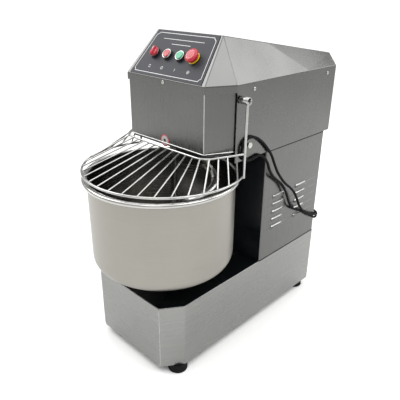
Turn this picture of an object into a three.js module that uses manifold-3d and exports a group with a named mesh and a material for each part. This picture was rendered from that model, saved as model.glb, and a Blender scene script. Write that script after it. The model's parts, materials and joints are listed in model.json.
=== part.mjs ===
// Spiral dough mixer with a turning bowl, a tilting wire guard and a sloping control panel.
// Millimetres, +Z up, +X to the right seen from the front, the front faces -Y.
// The origin is on the floor, under the centre of the machine.
import * as THREE from 'three';
import { mergeVertices } from 'three/addons/utils/BufferGeometryUtils.js';
import Module from 'manifold-3d';

const wasm = await Module();
wasm.setup();

// ---------- driving dimensions ----------
const GAP = 0.3; // between pieces that touch
const SHEET = 2; // stainless sheet

const BASE = { half: 170, front: -300, rear: 374, bottom: 25, top: 223, cutX: 40, cutY: 58, deck: 4 };
const COLUMN = { half: 170, front: 72, rear: 370, top: 640 };
const COVER = {
  half: 181, frontHalf: 145, front: -152, cut: -78, rear: 377.5,
  skirt: 584, frontSkirt: 762, sideFront: -76, eave: 780,
  topHalf: 117.5, topY: -61.5, topZ: 886, rearHalf: 153, rearZ: 814,
  foldTopY: 100, foldEaveY: 228,
};
const NOSE = { frontHalf: 140.5, half: 176, front: -148.5, cut: -72, rear: -60, bottom: 612, top: 770 };
const SCREW = { radius: 5, height: 2.2, frontZ: 772, sideZ: 763, sideFrontY: -12, sideRearY: 330 };
const FOOT = { radius: 28, height: 24.7, frontX: 143, frontY: -246, rearX: 138, rearY: 338 };
const LOUVRE = {
  rows: 5, firstZ: 319, pitch: 25.5, length: 58, centres: [147, 264],
  proud: 5, height: 9, lip: 1.5, endWall: 2, slotLow: 1, slotHigh: 2,
};

const BOWL = { y: -164, radius: 200, bottom: 272, rim: 536.5, fillet: 36, bead: 6.75, facets: 32 };
const HOOK = {
  flange: 584, hub: 21, above: 14, below: 12, neck: 26, start: 40, drop: 244, turns: 1.3, steps: 26,
};
const SPINDLE = { x: 72, y: -70, radius: 12.3, sweep: 61, rod: 12.5 };
const BAR = { x: 0, y: -120, radius: 10, tip: 292, head: 22, headThick: 14 };

const GUARD = {
  ringY: -153, ringZ: 552, ringRadius: 219, ringWire: 3.3, ringHalfAngle: 112.8,
  railZ: 605, railWire: 2.9, barWire: 2.1, bars: 10, barAngle: 10.4, barStep: 23.4,
  armX: 205, armY: -68, armWire: 3.6,
};
const HINGE = { y: -66, z: 745, shaft: 5.5, tube: 9.5, tubeFrom: 183, tubeTo: 211, setBack: 4 };
const SWITCH = { inner: 138, outer: 164, front: -48, rear: -22, bottom: 734, top: 762 };
const STUD = { y: -35, z: 626, radius: 8, length: 15 };

const COUNTERSHAFT = { x: 0, y: 100, radius: 14, bottom: 39.6, top: 752 };
const REDUCER = { x: 0, y: -10, radius: 10, top: 172 };
const MOTOR = { x: 0, y: 256, radius: 72, shaft: 12, bottom: 400, shelf: 620, bore: 437 };
const FRAME = {
  outer: 150, plate: 6, front: 96, rear: 344, armHalf: 128, armFront: -138, armZ: 654, armThick: 10,
};
const BELT = { bottom: 714, top: 746, flange: 3, drum: 95, motorDrum: 38, depth: 8 };
const CHAIN_HIGH = { z: 682, thick: 8 };
const CHAIN_LOW = { z: 80, thick: 8 };
const CHAIN_BOWL = { z: 150, thick: 8 };
const CHAIN = { depth: 6, clear: 2.2 };
const TEETH = {
  countershaftHigh: 12, spindle: 30, countershaftLow: 8, reducerBig: 34, reducerSmall: 9, bowl: 45,
};
const TIP = {
  countershaftHigh: 26.4, spindle: 66, countershaftLow: 20, reducerBig: 85, reducerSmall: 22, bowl: 110,
};

const PANEL = { half: 133, topHalf: 112, length: 135, thick: 1.2, step: 47.5, rowY: -4 };
const PLACES = { selector: -1.5, stop: -0.5, start: 0.5, emergency: 1.5 };
const COLLAR = { radius: 15, bore: 11, height: 8 };
const KNOB = { radius: 13, height: 5.5, gripHalf: 4.5, gripTop: 11.5 };
const CAP = { bottom: 5.5, proud: 3.5 };
const EMERGENCY = { collarHeight: 4.5, ring: 17, ringRise: 1.2, stem: 8.5, stemBottom: 5.2, neck: 11.2 };
const CONTROL_BOX = { left: -140, right: -84, front: 104, rear: 152, bottom: 300, top: 480 };
const CORD = { radius: 3.75, glandX: 75, glandZ: 262, glandLength: 28, sides: 8, steps: 76 };
const COIL = { x: -58, y: 445, middle: 40, half: 7.8, bottom: 1.8, top: 15.3, tie: 1.2, tieHalf: 4 };
const PLUG = {
  back: 30, z: 12.3, half: 17, from: 25, to: 66, low: 0.3, high: 24.3, pinStep: 9.5, pin: 2.4, pinTo: 84,
};

// ---------- finishes ----------
const FINISH = {
  stainless: { color: 0xa9aaa8, roughness: 0.3, metalness: 1 },
  satin: { color: 0xb9b3a8, roughness: 0.38, metalness: 1 },
  wire: { color: 0xd8d8d8, roughness: 0.15, metalness: 1 },
  black: { color: 0x141618, roughness: 0.25, metalness: 0 },
  rubber: { color: 0x161616, roughness: 0.7, metalness: 0 },
  plate: { color: 0x55565a, roughness: 0.5, metalness: 0 },
  collar: { color: 0x111111, roughness: 0.4, metalness: 0 },
  red: { color: 0xb0182c, roughness: 0.3, metalness: 0 },
  green: { color: 0x2f9a6a, roughness: 0.3, metalness: 0 },
  steel: { color: 0x7c7f83, roughness: 0.45, metalness: 1 },
  painted: { color: 0x39424a, roughness: 0.55, metalness: 0 },
};

// ---------- solids ----------
// A closed three.js geometry as a solid that can be cut and joined.
function solid(geometry) {
  const bare = geometry.clone();
  bare.deleteAttribute('normal');
  bare.deleteAttribute('uv');
  const merged = mergeVertices(bare, 1e-4);
  const index = merged.index.array;
  const kept = [];
  for (let i = 0; i < index.length; i += 3) {
    const [a, b, c] = [index[i], index[i + 1], index[i + 2]];
    if (a !== b && b !== c && c !== a) kept.push(a, b, c);
  }
  const vertProperties = new Float32Array(merged.attributes.position.array);
  return new wasm.Manifold(new wasm.Mesh({ numProp: 3, vertProperties, triVerts: new Uint32Array(kept) }));
}

function geometryOf(body) {
  const mesh = body.getMesh();
  const geometry = new THREE.BufferGeometry();
  geometry.setAttribute('position', new THREE.BufferAttribute(new Float32Array(mesh.vertProperties), 3));
  geometry.setIndex([...mesh.triVerts]);
  geometry.computeVertexNormals();
  return geometry;
}

const cut = (first, ...rest) =>
  geometryOf(rest.reduce((body, next) => body.subtract(solid(next)), solid(first)));
const join = (first, ...rest) =>
  geometryOf(rest.reduce((body, next) => body.add(solid(next)), solid(first)));

function box(x0, x1, y0, y1, z0, z1) {
  const geometry = new THREE.BoxGeometry(x1 - x0, y1 - y0, z1 - z0);
  return geometry.translate((x0 + x1) / 2, (y0 + y1) / 2, (z0 + z1) / 2);
}

// An outline in plan, from z0 up to z1.
function prism(outline, z0, z1) {
  const shape = new THREE.Shape(outline.map(([x, y]) => new THREE.Vector2(x, y)));
  return new THREE.ExtrudeGeometry(shape, { depth: z1 - z0, bevelEnabled: false }).translate(0, 0, z0);
}

// A convex outline, counter-clockwise, moved inwards by d.
function inset(outline, d) {
  const n = outline.length;
  const edges = outline.map(([x, y], i) => {
    const [u, v] = outline[(i + 1) % n];
    const length = Math.hypot(u - x, v - y);
    const [nx, ny] = [-(v - y) / length, (u - x) / length];
    return { nx, ny, c: nx * x + ny * y + d };
  });
  return edges.map((e, i) => {
    const p = edges[(i + n - 1) % n];
    const det = p.nx * e.ny - p.ny * e.nx;
    return [(p.c * e.ny - p.ny * e.c) / det, (p.nx * e.c - p.c * e.nx) / det];
  });
}

// A profile of [radius, z] points turned about a vertical axis at x, y.
function lathe(profile, facets, x = 0, y = 0) {
  const points = profile.map(([r, z]) => new THREE.Vector2(r, z));
  return new THREE.LatheGeometry(points, facets).rotateX(Math.PI / 2).translate(x, y, 0);
}

const disc = (radius, z0, z1, x, y, facets = 20) =>
  lathe([[0, z0], [radius, z0], [radius, z1], [0, z1]], facets, x, y);

const ring = (inner, outer, z0, z1, x, y, facets = 20) =>
  lathe([[inner, z0], [outer, z0], [outer, z1], [inner, z1], [inner, z0]], facets, x, y);

// A straight round rod between two points.
function rod(from, to, radius, facets = 8) {
  const [a, b] = [new THREE.Vector3(...from), new THREE.Vector3(...to)];
  const along = b.clone().sub(a);
  const geometry = new THREE.CylinderGeometry(radius, radius, along.length(), facets);
  const turn = new THREE.Quaternion().setFromUnitVectors(new THREE.Vector3(0, 1, 0), along.normalize());
  const middle = a.add(b).multiplyScalar(0.5);
  return geometry.applyQuaternion(turn).translate(middle.x, middle.y, middle.z);
}

// A round section carried along a smooth curve through the points.
function tube(points, radius, sides, steps) {
  const shape = new THREE.Shape();
  for (let i = 0; i < sides; i += 1) {
    const angle = (2 * Math.PI * i) / sides;
    const corner = [radius * Math.cos(angle), radius * Math.sin(angle)];
    if (i === 0) shape.moveTo(...corner);
    else shape.lineTo(...corner);
  }
  const extrudePath = new THREE.CatmullRomCurve3(points.map((p) => new THREE.Vector3(...p)));
  return new THREE.ExtrudeGeometry(shape, { steps, extrudePath, bevelEnabled: false });
}

// A closed body from corner points and faces that are listed counter-clockwise seen from outside.
function polyhedron(corners, faces) {
  const geometry = new THREE.BufferGeometry();
  geometry.setAttribute('position', new THREE.BufferAttribute(new Float32Array(corners.flat()), 3));
  geometry.setIndex(faces.flatMap((f) => f.slice(2).flatMap((_, i) => [f[0], f[i + 1], f[i + 2]])));
  return geometry;
}

// ---------- the assembly ----------
const mixer = new THREE.Group();

function add(name, geometry, finish, parent = mixer) {
  const mesh = new THREE.Mesh(geometry, new THREE.MeshStandardMaterial(FINISH[finish]));
  mesh.name = name;
  parent.add(mesh);
  return mesh;
}

const mirrorX = ([x, ...rest]) => [-x, ...rest];
const SIDES = [['left', -1], ['right', 1]];

// ---------- base ----------
function baseOutline() {
  const { half, front, rear, cutX, cutY } = BASE;
  return [
    [-half + cutX, front], [half - cutX, front], [half, front + cutY],
    [half, rear], [-half, rear], [-half, front + cutY],
  ];
}

function makeBase() {
  const outline = baseOutline();
  const inner = inset(outline, SHEET + GAP);
  const { bottom, top, deck, rear } = BASE;
  const hollow = prism(inset(outline, SHEET), bottom - 1, top + 1);
  add('base_housing', cut(prism(outline, bottom, top), hollow), 'stainless');

  const behindColumn = box(-200, 200, COLUMN.front - GAP, rear, top - 20, top + 20);
  const hubHole = disc(34, top - 20, top + 20, 0, BOWL.y, 20);
  add('base_deck', cut(prism(inner, top - 1 - deck, top - 1), behindColumn, hubHole), 'black');
  add('base_frame', prism(inner, bottom + 2, bottom + 8), 'painted');

  const feet = [['front', FOOT.frontX, FOOT.frontY], ['rear', FOOT.rearX, FOOT.rearY]];
  for (const [end, x, y] of feet) {
    for (const [side, sign] of SIDES) {
      const { radius: r, height: h } = FOOT;
      const profile = [[0, 0], [r - 2, 0], [r, 3], [r - 3, h], [0, h]];
      add(`foot_${end}_${side}`, lathe(profile, 16, sign * x, y), 'rubber');
    }
  }
}

// ---------- column ----------
// One pressed louvre: a wedge that leans out of the panel over a slot.
function louvreWedge(y, z) {
  const { length, proud, height, lip } = LOUVRE;
  const rooted = SHEET / 4;
  const wedge = new THREE.Shape([
    new THREE.Vector2(-rooted, 0), new THREE.Vector2(proud, 0), new THREE.Vector2(proud, lip),
    new THREE.Vector2(0, height), new THREE.Vector2(-rooted, height),
  ]);
  const geometry = new THREE.ExtrudeGeometry(wedge, { depth: length, bevelEnabled: false });
  return geometry.rotateX(Math.PI / 2).translate(COLUMN.half, y + length / 2, z);
}

function sidePanel() {
  const { half, front, rear, top } = COLUMN;
  const { length, endWall, proud, lip, slotLow, slotHigh } = LOUVRE;
  const slotHalf = length / 2 - endWall;
  let panel = box(half - SHEET, half, front, rear, BASE.top + GAP, top);
  for (const y of LOUVRE.centres) {
    for (let row = 0; row < LOUVRE.rows; row += 1) {
      const z = LOUVRE.firstZ + row * LOUVRE.pitch;
      const level = [z - slotLow, z + slotHigh];
      const slot = box(half - 2 * SHEET, half + proud - lip, y - slotHalf, y + slotHalf, ...level);
      panel = cut(join(panel, louvreWedge(y, z)), slot);
    }
  }
  return panel;
}

// The same panel on the other side: mirrored, with its faces turned back to point out.
function mirrored(geometry) {
  const copy = geometry.clone().scale(-1, 1, 1);
  const order = [...copy.index.array];
  for (let i = 0; i < order.length; i += 3) [order[i], order[i + 1]] = [order[i + 1], order[i]];
  copy.setIndex(order);
  copy.computeVertexNormals();
  return copy;
}

function makeColumn() {
  const { half, front, rear, top } = COLUMN;
  const inner = half - SHEET - GAP;
  const bottom = BASE.top - 1 + GAP;
  add('column_front_panel', box(-inner, inner, front, front + SHEET, bottom, top), 'black');

  const right = sidePanel();
  add('column_side_right', right, 'stainless');
  add('column_side_left', mirrored(right), 'stainless');

  add('column_rear_panel', box(-inner, inner, rear - SHEET, rear, bottom, top), 'stainless');
}

function makeFrame() {
  const { outer, plate, front, rear, armHalf, armFront, armZ, armThick } = FRAME;
  const floor = BASE.bottom + 8 + GAP;
  const shaftHole = (at, radius) => disc(radius, armZ - 1, armZ + armThick + 1, at.x, at.y, 16);
  const uprights = SIDES.map(([, s]) => {
    const [x0, x1] = [s * outer, s * (outer - plate)].sort((a, b) => a - b);
    return box(x0, x1, front, rear, floor, armZ + 1);
  });
  const body = join(
    ...uprights,
    box(-outer, outer, front, rear, floor, floor + plate),
    box(-outer, outer, MOTOR.y - 84, rear, MOTOR.shelf, MOTOR.shelf + 8),
    box(-outer, outer, front, rear, armZ, armZ + armThick),
    box(-armHalf, armHalf, armFront, front + 1, armZ, armZ + armThick),
  );
  const shelfHole = disc(20, MOTOR.shelf - 1, MOTOR.shelf + 9, MOTOR.x, MOTOR.y, 16);
  const holes = [shaftHole(SPINDLE, 20), shaftHole(COUNTERSHAFT, 26.3), shaftHole(MOTOR, 20), shelfHole];
  add('machine_frame', cut(body, ...holes), 'painted');
}

// ---------- head ----------
// The cover's outer form, or with d the form d millimetres inside it. The fractions of d are what
// the sloping faces need for an even wall.
function coverBody(bottom, d) {
  const c = COVER;
  const half = c.half - d;
  const rear = c.rear - d;
  const eave = c.eave - 0.4 * d;
  const top = { x: c.topHalf - 0.5 * d, y: c.topY + 0.4 * d, z: c.topZ - 1.1 * d };
  const back = { x: c.rearHalf - 0.6 * d, z: c.rearZ - 1.1 * d };
  const along = (c.foldTopY - top.y) / (rear - top.y);
  const fold = [top.x + along * (back.x - top.x), c.foldTopY, top.z + along * (back.z - top.z)];
  const front = [c.frontHalf - 0.55 * d, c.front + d];
  const right = [
    [...front, bottom], [half, c.cut + 0.5 * d, bottom], [half, rear, bottom],
    [...front, eave], [half, c.cut + 0.5 * d, eave], [half, c.foldEaveY, eave], [half, rear, eave],
    [top.x, top.y, top.z], fold, [back.x, rear, back.z],
  ];
  const n = right.length;
  const rightFaces = [[0, 1, 4, 3], [1, 2, 6, 5, 4], [3, 4, 7], [4, 5, 8], [4, 8, 7], [5, 6, 9], [5, 9, 8]];
  const leftFaces = rightFaces.map((face) => face.map((i) => i + n).reverse());
  const across = [
    [2, 2 + n, 6 + n, 9 + n, 9, 6], [n, 0, 3, 3 + n], [3 + n, 3, 7, 7 + n],
    [8, 9, 9 + n, 8 + n, 7 + n, 7], [n, 1 + n, 2 + n, 2, 1, 0],
  ];
  return polyhedron([...right, ...right.map(mirrorX)], [...rightFaces, ...leftFaces, ...across]);
}

function noseOutline(rear) {
  const { frontHalf, half, front, cut: side } = NOSE;
  return [[-frontHalf, front], [frontHalf, front], [half, side], [half, rear], [-half, rear], [-half, side]];
}

function makeHead() {
  const hingeHole = rod([-250, HINGE.y, HINGE.z], [250, HINGE.y, HINGE.z], HINGE.shaft + 1, 16);
  const underNose = box(-220, 220, COVER.front - 20, COVER.sideFront, COVER.skirt - 20, COVER.frontSkirt);
  const cover = cut(coverBody(COVER.skirt, 0), coverBody(COVER.skirt - 10, SHEET), underNose, hingeHole);
  add('head_cover', cover, 'stainless');

  const { bottom, top, rear, half } = NOSE;
  const outline = noseOutline(rear);
  const rearOpening = box(SHEET - half, half - SHEET, rear - 5, rear + 5, bottom - 1, top + 1);
  const hollow = prism(inset(outline, SHEET), bottom - 1, top + 1);
  add('nose_shell', cut(prism(outline, bottom, top), hollow, rearOpening, hingeHole), 'stainless');

  const underside = prism(inset(noseOutline(COLUMN.front), SHEET + GAP), bottom, bottom + SHEET);
  const spindleHole = disc(20, bottom - 5, bottom + 5, SPINDLE.x, SPINDLE.y, 24);
  const barHole = disc(BAR.radius + GAP, bottom - 5, bottom + 5, BAR.x, BAR.y, 16);
  add('head_underside', cut(underside, spindleHole, barHole), 'stainless');

  makeCoverScrews();
  const studFrom = COVER.half + GAP;
  const [stud, studEnd] = [studFrom, studFrom + STUD.length].map((x) => [x, STUD.y, STUD.z]);
  add('cord_stud', rod(stud, studEnd, STUD.radius, 16), 'wire');
  const w = SWITCH;
  add('guard_switch', box(w.inner, w.outer, w.front, w.rear, w.bottom, w.top), 'collar');
}

function makeCoverScrews() {
  const { radius, height, frontZ, sideZ, sideFrontY, sideRearY } = SCREW;
  const screws = [['front', [0, COVER.front, frontZ], [0, -1, 0]]];
  for (const [side, s] of SIDES) {
    screws.push([`${side}_front`, [s * COVER.half, sideFrontY, sideZ], [s, 0, 0]]);
    screws.push([`${side}_rear`, [s * COVER.half, sideRearY, sideZ], [s, 0, 0]]);
  }
  for (const [place, at, out] of screws) {
    const from = at.map((v, i) => v + out[i] * GAP);
    const to = at.map((v, i) => v + out[i] * (GAP + height));
    add(`cover_screw_${place}`, rod(from, to, radius, 10), 'wire');
  }
}

// ---------- control panel, in the plane of the front slope ----------
function makePanel() {
  const slope = new THREE.Group();
  const rise = COVER.topZ - COVER.eave;
  const run = COVER.topY - COVER.front;
  slope.position.set(0, (COVER.front + COVER.topY) / 2, (COVER.eave + COVER.topZ) / 2);
  slope.rotation.x = Math.atan2(rise, run);
  mixer.add(slope);

  const { half, topHalf, length, thick } = PANEL;
  const plate = [[-half, -length / 2], [half, -length / 2], [topHalf, length / 2], [-topHalf, length / 2]];
  add('control_plate', prism(plate, GAP, GAP + thick), 'plate', slope);
  makeCollars(slope);
  makeKnobAndCaps(slope);
  makeEmergencyStop(slope);
}

const SEAT = 2 * GAP + PANEL.thick;
const controlX = (name) => PLACES[name] * PANEL.step;

function makeCollars(slope) {
  const { radius, bore, height } = COLLAR;
  for (const name of ['selector', 'stop', 'start']) {
    const collar = ring(bore, radius, SEAT, SEAT + height, controlX(name), PANEL.rowY);
    add(`${name}_collar`, collar, 'collar', slope);
  }
  const { collarHeight, ring: wide, ringRise } = EMERGENCY;
  const rim = SEAT + collarHeight;
  const at = [controlX('emergency'), PANEL.rowY];
  const guardRing = ring(bore, wide, rim - ringRise, rim + ringRise, ...at);
  add('emergency_collar', join(ring(bore, radius, SEAT, rim, ...at), guardRing), 'collar', slope);
}

function makeKnobAndCaps(slope) {
  const rim = SEAT + COLLAR.height;
  const { radius, height, gripHalf, gripTop } = KNOB;
  const [x, y] = [controlX('selector'), PANEL.rowY];
  const grip = box(x - gripHalf, x + gripHalf, y - radius, y + radius, rim + height - 1, rim + gripTop);
  add('selector_knob', join(disc(radius, rim + GAP, rim + height, x, y), grip), 'red', slope);

  const edge = COLLAR.bore - GAP;
  const top = rim + CAP.proud;
  const cap = [[0, CAP.bottom], [edge, CAP.bottom], [edge, top - 1], [edge - 1.7, top], [0, top]];
  add('stop_button', lathe(cap, 20, controlX('stop'), y), 'red', slope);
  add('start_button', lathe(cap, 20, controlX('start'), y), 'green', slope);
}

function makeEmergencyStop(slope) {
  const { stem, stemBottom, neck } = EMERGENCY;
  const at = [controlX('emergency'), PANEL.rowY];
  add('emergency_stem', disc(stem, stemBottom, neck, ...at, 16), 'collar', slope);
  const head = [
    [0, neck + GAP], [12, neck + GAP], [17.5, neck + 4.3], [18.5, neck + 6.8],
    [17.5, neck + 9.6], [12, neck + 12], [0, neck + 12.8],
  ];
  add('emergency_head', lathe(head, 24, ...at), 'red', slope);
}

// ---------- bowl, hook and breaker bar ----------
// A quarter turn of the bowl's bottom corner, from the flat floor to the upright wall.
function cornerArc(radius, fillet, floor, steps) {
  return Array.from({ length: steps + 1 }, (_, i) => {
    const angle = (Math.PI / 2) * (i / steps);
    return [radius - fillet + fillet * Math.sin(angle), floor + fillet - fillet * Math.cos(angle)];
  });
}

function makeBowl() {
  const { y, radius, bottom, rim, fillet, bead, facets } = BOWL;
  const wall = SHEET;
  const edge = radius + 2 * bead;
  const outside = cornerArc(radius, fillet, bottom, 4);
  const inside = cornerArc(radius - wall, fillet - wall, bottom + wall, 4).reverse();
  const roll = [
    [radius, rim - 2.2 * bead], [edge, rim - 1.5 * bead], [edge, rim - bead / 2], [edge - bead / 2, rim],
  ];
  const mouth = [[radius, rim], [radius - wall, rim - wall]];
  const profile = [[0, bottom], ...outside, ...roll, ...mouth, ...inside, [0, bottom + wall]];
  add('bowl', lathe(profile, facets, 0, y), 'satin');

  const floor = BASE.bottom + 8 + GAP;
  const { z, thick } = CHAIN_BOWL;
  const hub = [
    [0, floor], [15, floor], [15, z + thick], [28, z + thick + 6],
    [28, bottom - 12], [62, bottom - 10], [62, bottom - GAP], [0, bottom - GAP],
  ];
  const wheel = sprocket(TIP.bowl, TEETH.bowl, CHAIN_BOWL, { x: 0, y });
  add('bowl_hub', join(lathe(hub, 20, 0, y), wheel), 'steel');
  add('bowl_bearing_housing', ring(26.3, 42, floor, 120, 0, y, 16), 'painted');
  add('bowl_bearing', ring(15.3, 26, 60, 116, 0, y, 16), 'steel');
}

function makeHook() {
  const { x, y, radius, sweep, rod: wire } = SPINDLE;
  const { flange, hub: hubRadius, above, below, neck, start, drop, turns, steps } = HOOK;
  const points = [[x, y, flange - 8], [x, y, flange - neck]];
  for (let i = 1; i <= steps; i += 1) {
    const t = i / steps;
    const angle = 2 * Math.PI * (0.22 - turns * t);
    const reach = sweep * Math.min(1, 0.18 + 2.6 * t);
    const z = flange - start - drop * t ** 1.05;
    points.push([x + reach * Math.cos(angle), y + reach * Math.sin(angle), z]);
  }
  const hub = disc(hubRadius, flange - below, flange + above, x, y, 20);
  add('spiral_hook', join(tube(points, wire, 8, 38), hub), 'wire');

  const shaft = disc(radius, flange + above + GAP, BELT.bottom - 2, x, y, 16);
  add('spindle_shaft', join(shaft, sprocket(TIP.spindle, TEETH.spindle, CHAIN_HIGH, SPINDLE)), 'steel');
  const { armZ } = FRAME;
  add('spindle_housing', ring(26.3, 42, NOSE.bottom + 8, armZ - GAP, x, y, 16), 'painted');
  add('spindle_bearing', ring(radius + GAP, 26, NOSE.bottom + 12, armZ - 4, x, y, 16), 'steel');

  const bar = [
    [0, BAR.tip], [BAR.radius - 2, BAR.tip], [BAR.radius, BAR.tip + 3],
    [BAR.radius, armZ - BAR.headThick], [BAR.head, armZ - BAR.headThick],
    [BAR.head, armZ - GAP], [0, armZ - GAP],
  ];
  add('breaker_bar', lathe(bar, 16, BAR.x, BAR.y), 'wire');
}

// ---------- guard ----------
// A point on the guard's upper rail, a given length along it from the middle.
function railPoint(along) {
  const { armX, armY, railZ } = GUARD;
  const corners = [[0, -166], [139, -163], [160, -148], [193, -88], [armX, armY]];
  let left = Math.abs(along);
  for (let i = 1; i < corners.length; i += 1) {
    const [a, b] = [corners[i - 1], corners[i]];
    const span = Math.hypot(b[0] - a[0], b[1] - a[1]);
    if (left <= span || i === corners.length - 1) {
      const t = Math.min(1, left / span);
      return [Math.sign(along || 1) * (a[0] + t * (b[0] - a[0])), a[1] + t * (b[1] - a[1]), railZ];
    }
    left -= span;
  }
  return [armX, armY, railZ];
}

function ringPoint(degrees) {
  const { ringY, ringZ, ringRadius } = GUARD;
  const angle = THREE.MathUtils.degToRad(degrees);
  return [ringRadius * Math.sin(angle), ringY - ringRadius * Math.cos(angle), ringZ];
}

function makeGuard() {
  const g = GUARD;
  const ringPoints = [];
  for (let i = -12; i <= 12; i += 1) ringPoints.push(ringPoint((g.ringHalfAngle * i) / 12));
  const railPoints = [];
  for (let i = -g.bars - 1; i <= g.bars + 1; i += 1) railPoints.push(railPoint(i * g.barStep));
  const wires = [tube(railPoints, g.railWire, 6, 28)];
  for (let i = -g.bars; i <= g.bars; i += 1) {
    wires.push(rod(ringPoint(i * g.barAngle), railPoint(i * g.barStep), g.barWire, 5));
  }
  for (const [, s] of SIDES) {
    wires.push(rod([s * g.armX, g.armY, g.ringZ - 3], [s * g.armX, HINGE.y, HINGE.z - 2], g.armWire, 8));
    const [near, far] = [HINGE.tubeFrom, HINGE.tubeTo].map((x) => [s * x, HINGE.y, HINGE.z]);
    wires.push(rod(near, far, HINGE.tube, 16));
  }
  const welded = join(tube(ringPoints, g.ringWire, 6, 32), ...wires);
  const bore = rod([-250, HINGE.y, HINGE.z], [250, HINGE.y, HINGE.z], HINGE.shaft + GAP, 12);
  add('bowl_guard', cut(welded, bore), 'wire');
  const end = HINGE.tubeTo - HINGE.setBack;
  add('guard_shaft', rod([-end, HINGE.y, HINGE.z], [end, HINGE.y, HINGE.z], HINGE.shaft, 12), 'steel');
}

// ---------- drive ----------
function sprocket(tip, teeth, level, at) {
  const outline = [];
  const depth = 5;
  for (let i = 0; i < teeth * 2; i += 1) {
    const angle = (Math.PI * i) / teeth;
    const r = i % 2 ? tip - depth : tip;
    outline.push([at.x + r * Math.cos(angle), at.y + r * Math.sin(angle)]);
  }
  return prism(outline, level.z, level.z + level.thick);
}

// A belt or chain: a band round two circles, given by their centres and inner radii.
function loop(a, ra, b, rb, depth, z0, z1) {
  const distance = Math.hypot(b.x - a.x, b.y - a.y);
  const heading = Math.atan2(b.y - a.y, b.x - a.x);
  const wrap = Math.acos((ra - rb) / distance);
  const outline = (path, extra) => {
    path.absarc(a.x, a.y, ra + extra, heading + wrap, heading - wrap + 2 * Math.PI, false);
    path.absarc(b.x, b.y, rb + extra, heading - wrap, heading + wrap, false);
    path.closePath();
    return path;
  };
  const shape = outline(new THREE.Shape(), depth);
  shape.holes.push(outline(new THREE.Path(), 0));
  const options = { depth: z1 - z0, bevelEnabled: false, curveSegments: 10 };
  return new THREE.ExtrudeGeometry(shape, options).translate(0, 0, z0);
}

function chain(a, tipA, b, tipB, level) {
  const { depth, clear } = CHAIN;
  return loop(a, tipA + clear, b, tipB + clear, depth, level.z, level.z + level.thick);
}

// A flanged drum for the belt, with the shaft or bore inside it.
function pulleyProfile(inner, drum) {
  const { bottom, top, flange, depth } = BELT;
  return [
    [inner, bottom], [drum + depth, bottom], [drum + depth, bottom + flange], [drum, bottom + flange],
    [drum, top - flange], [drum + depth, top - flange], [drum + depth, top], [inner, top],
  ];
}

function makeDrive() {
  const { x, y, radius, bottom, top } = COUNTERSHAFT;
  const shaft = disc(radius, bottom, top, x, y, 16);
  const high = sprocket(TIP.countershaftHigh, TEETH.countershaftHigh, CHAIN_HIGH, COUNTERSHAFT);
  const low = sprocket(TIP.countershaftLow, TEETH.countershaftLow, CHAIN_LOW, COUNTERSHAFT);
  add('countershaft', join(shaft, high, low), 'steel');
  const bore = radius + GAP;
  add('countershaft_bearing_lower', ring(bore, 30, bottom, bottom + 16, x, y, 16), 'steel');
  add('countershaft_bearing_upper', ring(bore, 26, FRAME.armZ + 1, FRAME.armZ + 9, x, y, 16), 'steel');
  const wheel = pulleyProfile(bore, BELT.drum);
  add('belt_pulley', lathe([...wheel, wheel[0]], 24, x, y), 'steel');

  const reducerFloor = BASE.bottom + 8 + GAP;
  const reducer = disc(REDUCER.radius, reducerFloor, REDUCER.top, REDUCER.x, REDUCER.y, 16);
  const big = sprocket(TIP.reducerBig, TEETH.reducerBig, CHAIN_LOW, REDUCER);
  const small = sprocket(TIP.reducerSmall, TEETH.reducerSmall, CHAIN_BOWL, REDUCER);
  add('reducer_shaft', join(reducer, big, small), 'steel');

  const m = MOTOR;
  const stator = [
    [0, m.bottom], [58, m.bottom], [66, m.bottom + 6], [66, m.bottom + 40], [m.radius, m.bottom + 46],
    [m.radius, m.shelf - 20], [60, m.shelf - 12], [60, m.shelf - GAP], [m.shaft + 1, m.shelf - GAP],
    [m.shaft + 1, m.bore], [0, m.bore],
  ];
  add('motor_body', lathe(stator, 24, m.x, m.y), 'painted');
  const rotor = [[0, m.bore + 1], [m.shaft, m.bore + 1], ...pulleyProfile(m.shaft, BELT.motorDrum)];
  add('motor_shaft', lathe([...rotor, [m.shaft, BELT.top + 4], [0, BELT.top + 4]], 16, m.x, m.y), 'steel');

  const motorDrum = BELT.motorDrum + 1;
  const levels = [BELT.bottom + BELT.flange + GAP, BELT.top - BELT.flange - GAP];
  const belt = loop(COUNTERSHAFT, BELT.drum + 1, MOTOR, motorDrum, BELT.depth - 1, ...levels);
  add('drive_belt', belt, 'rubber');
  const t = TIP;
  add('spindle_chain', chain(COUNTERSHAFT, t.countershaftHigh, SPINDLE, t.spindle, CHAIN_HIGH), 'steel');
  add('reducer_chain', chain(COUNTERSHAFT, t.countershaftLow, REDUCER, t.reducerBig, CHAIN_LOW), 'steel');
  add('bowl_chain', chain(REDUCER, t.reducerSmall, { x: 0, y: BOWL.y }, t.bowl, CHAIN_BOWL), 'steel');
  const c = CONTROL_BOX;
  add('control_box', box(c.left, c.right, c.front, c.rear, c.bottom, c.top), 'collar');
}

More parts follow.
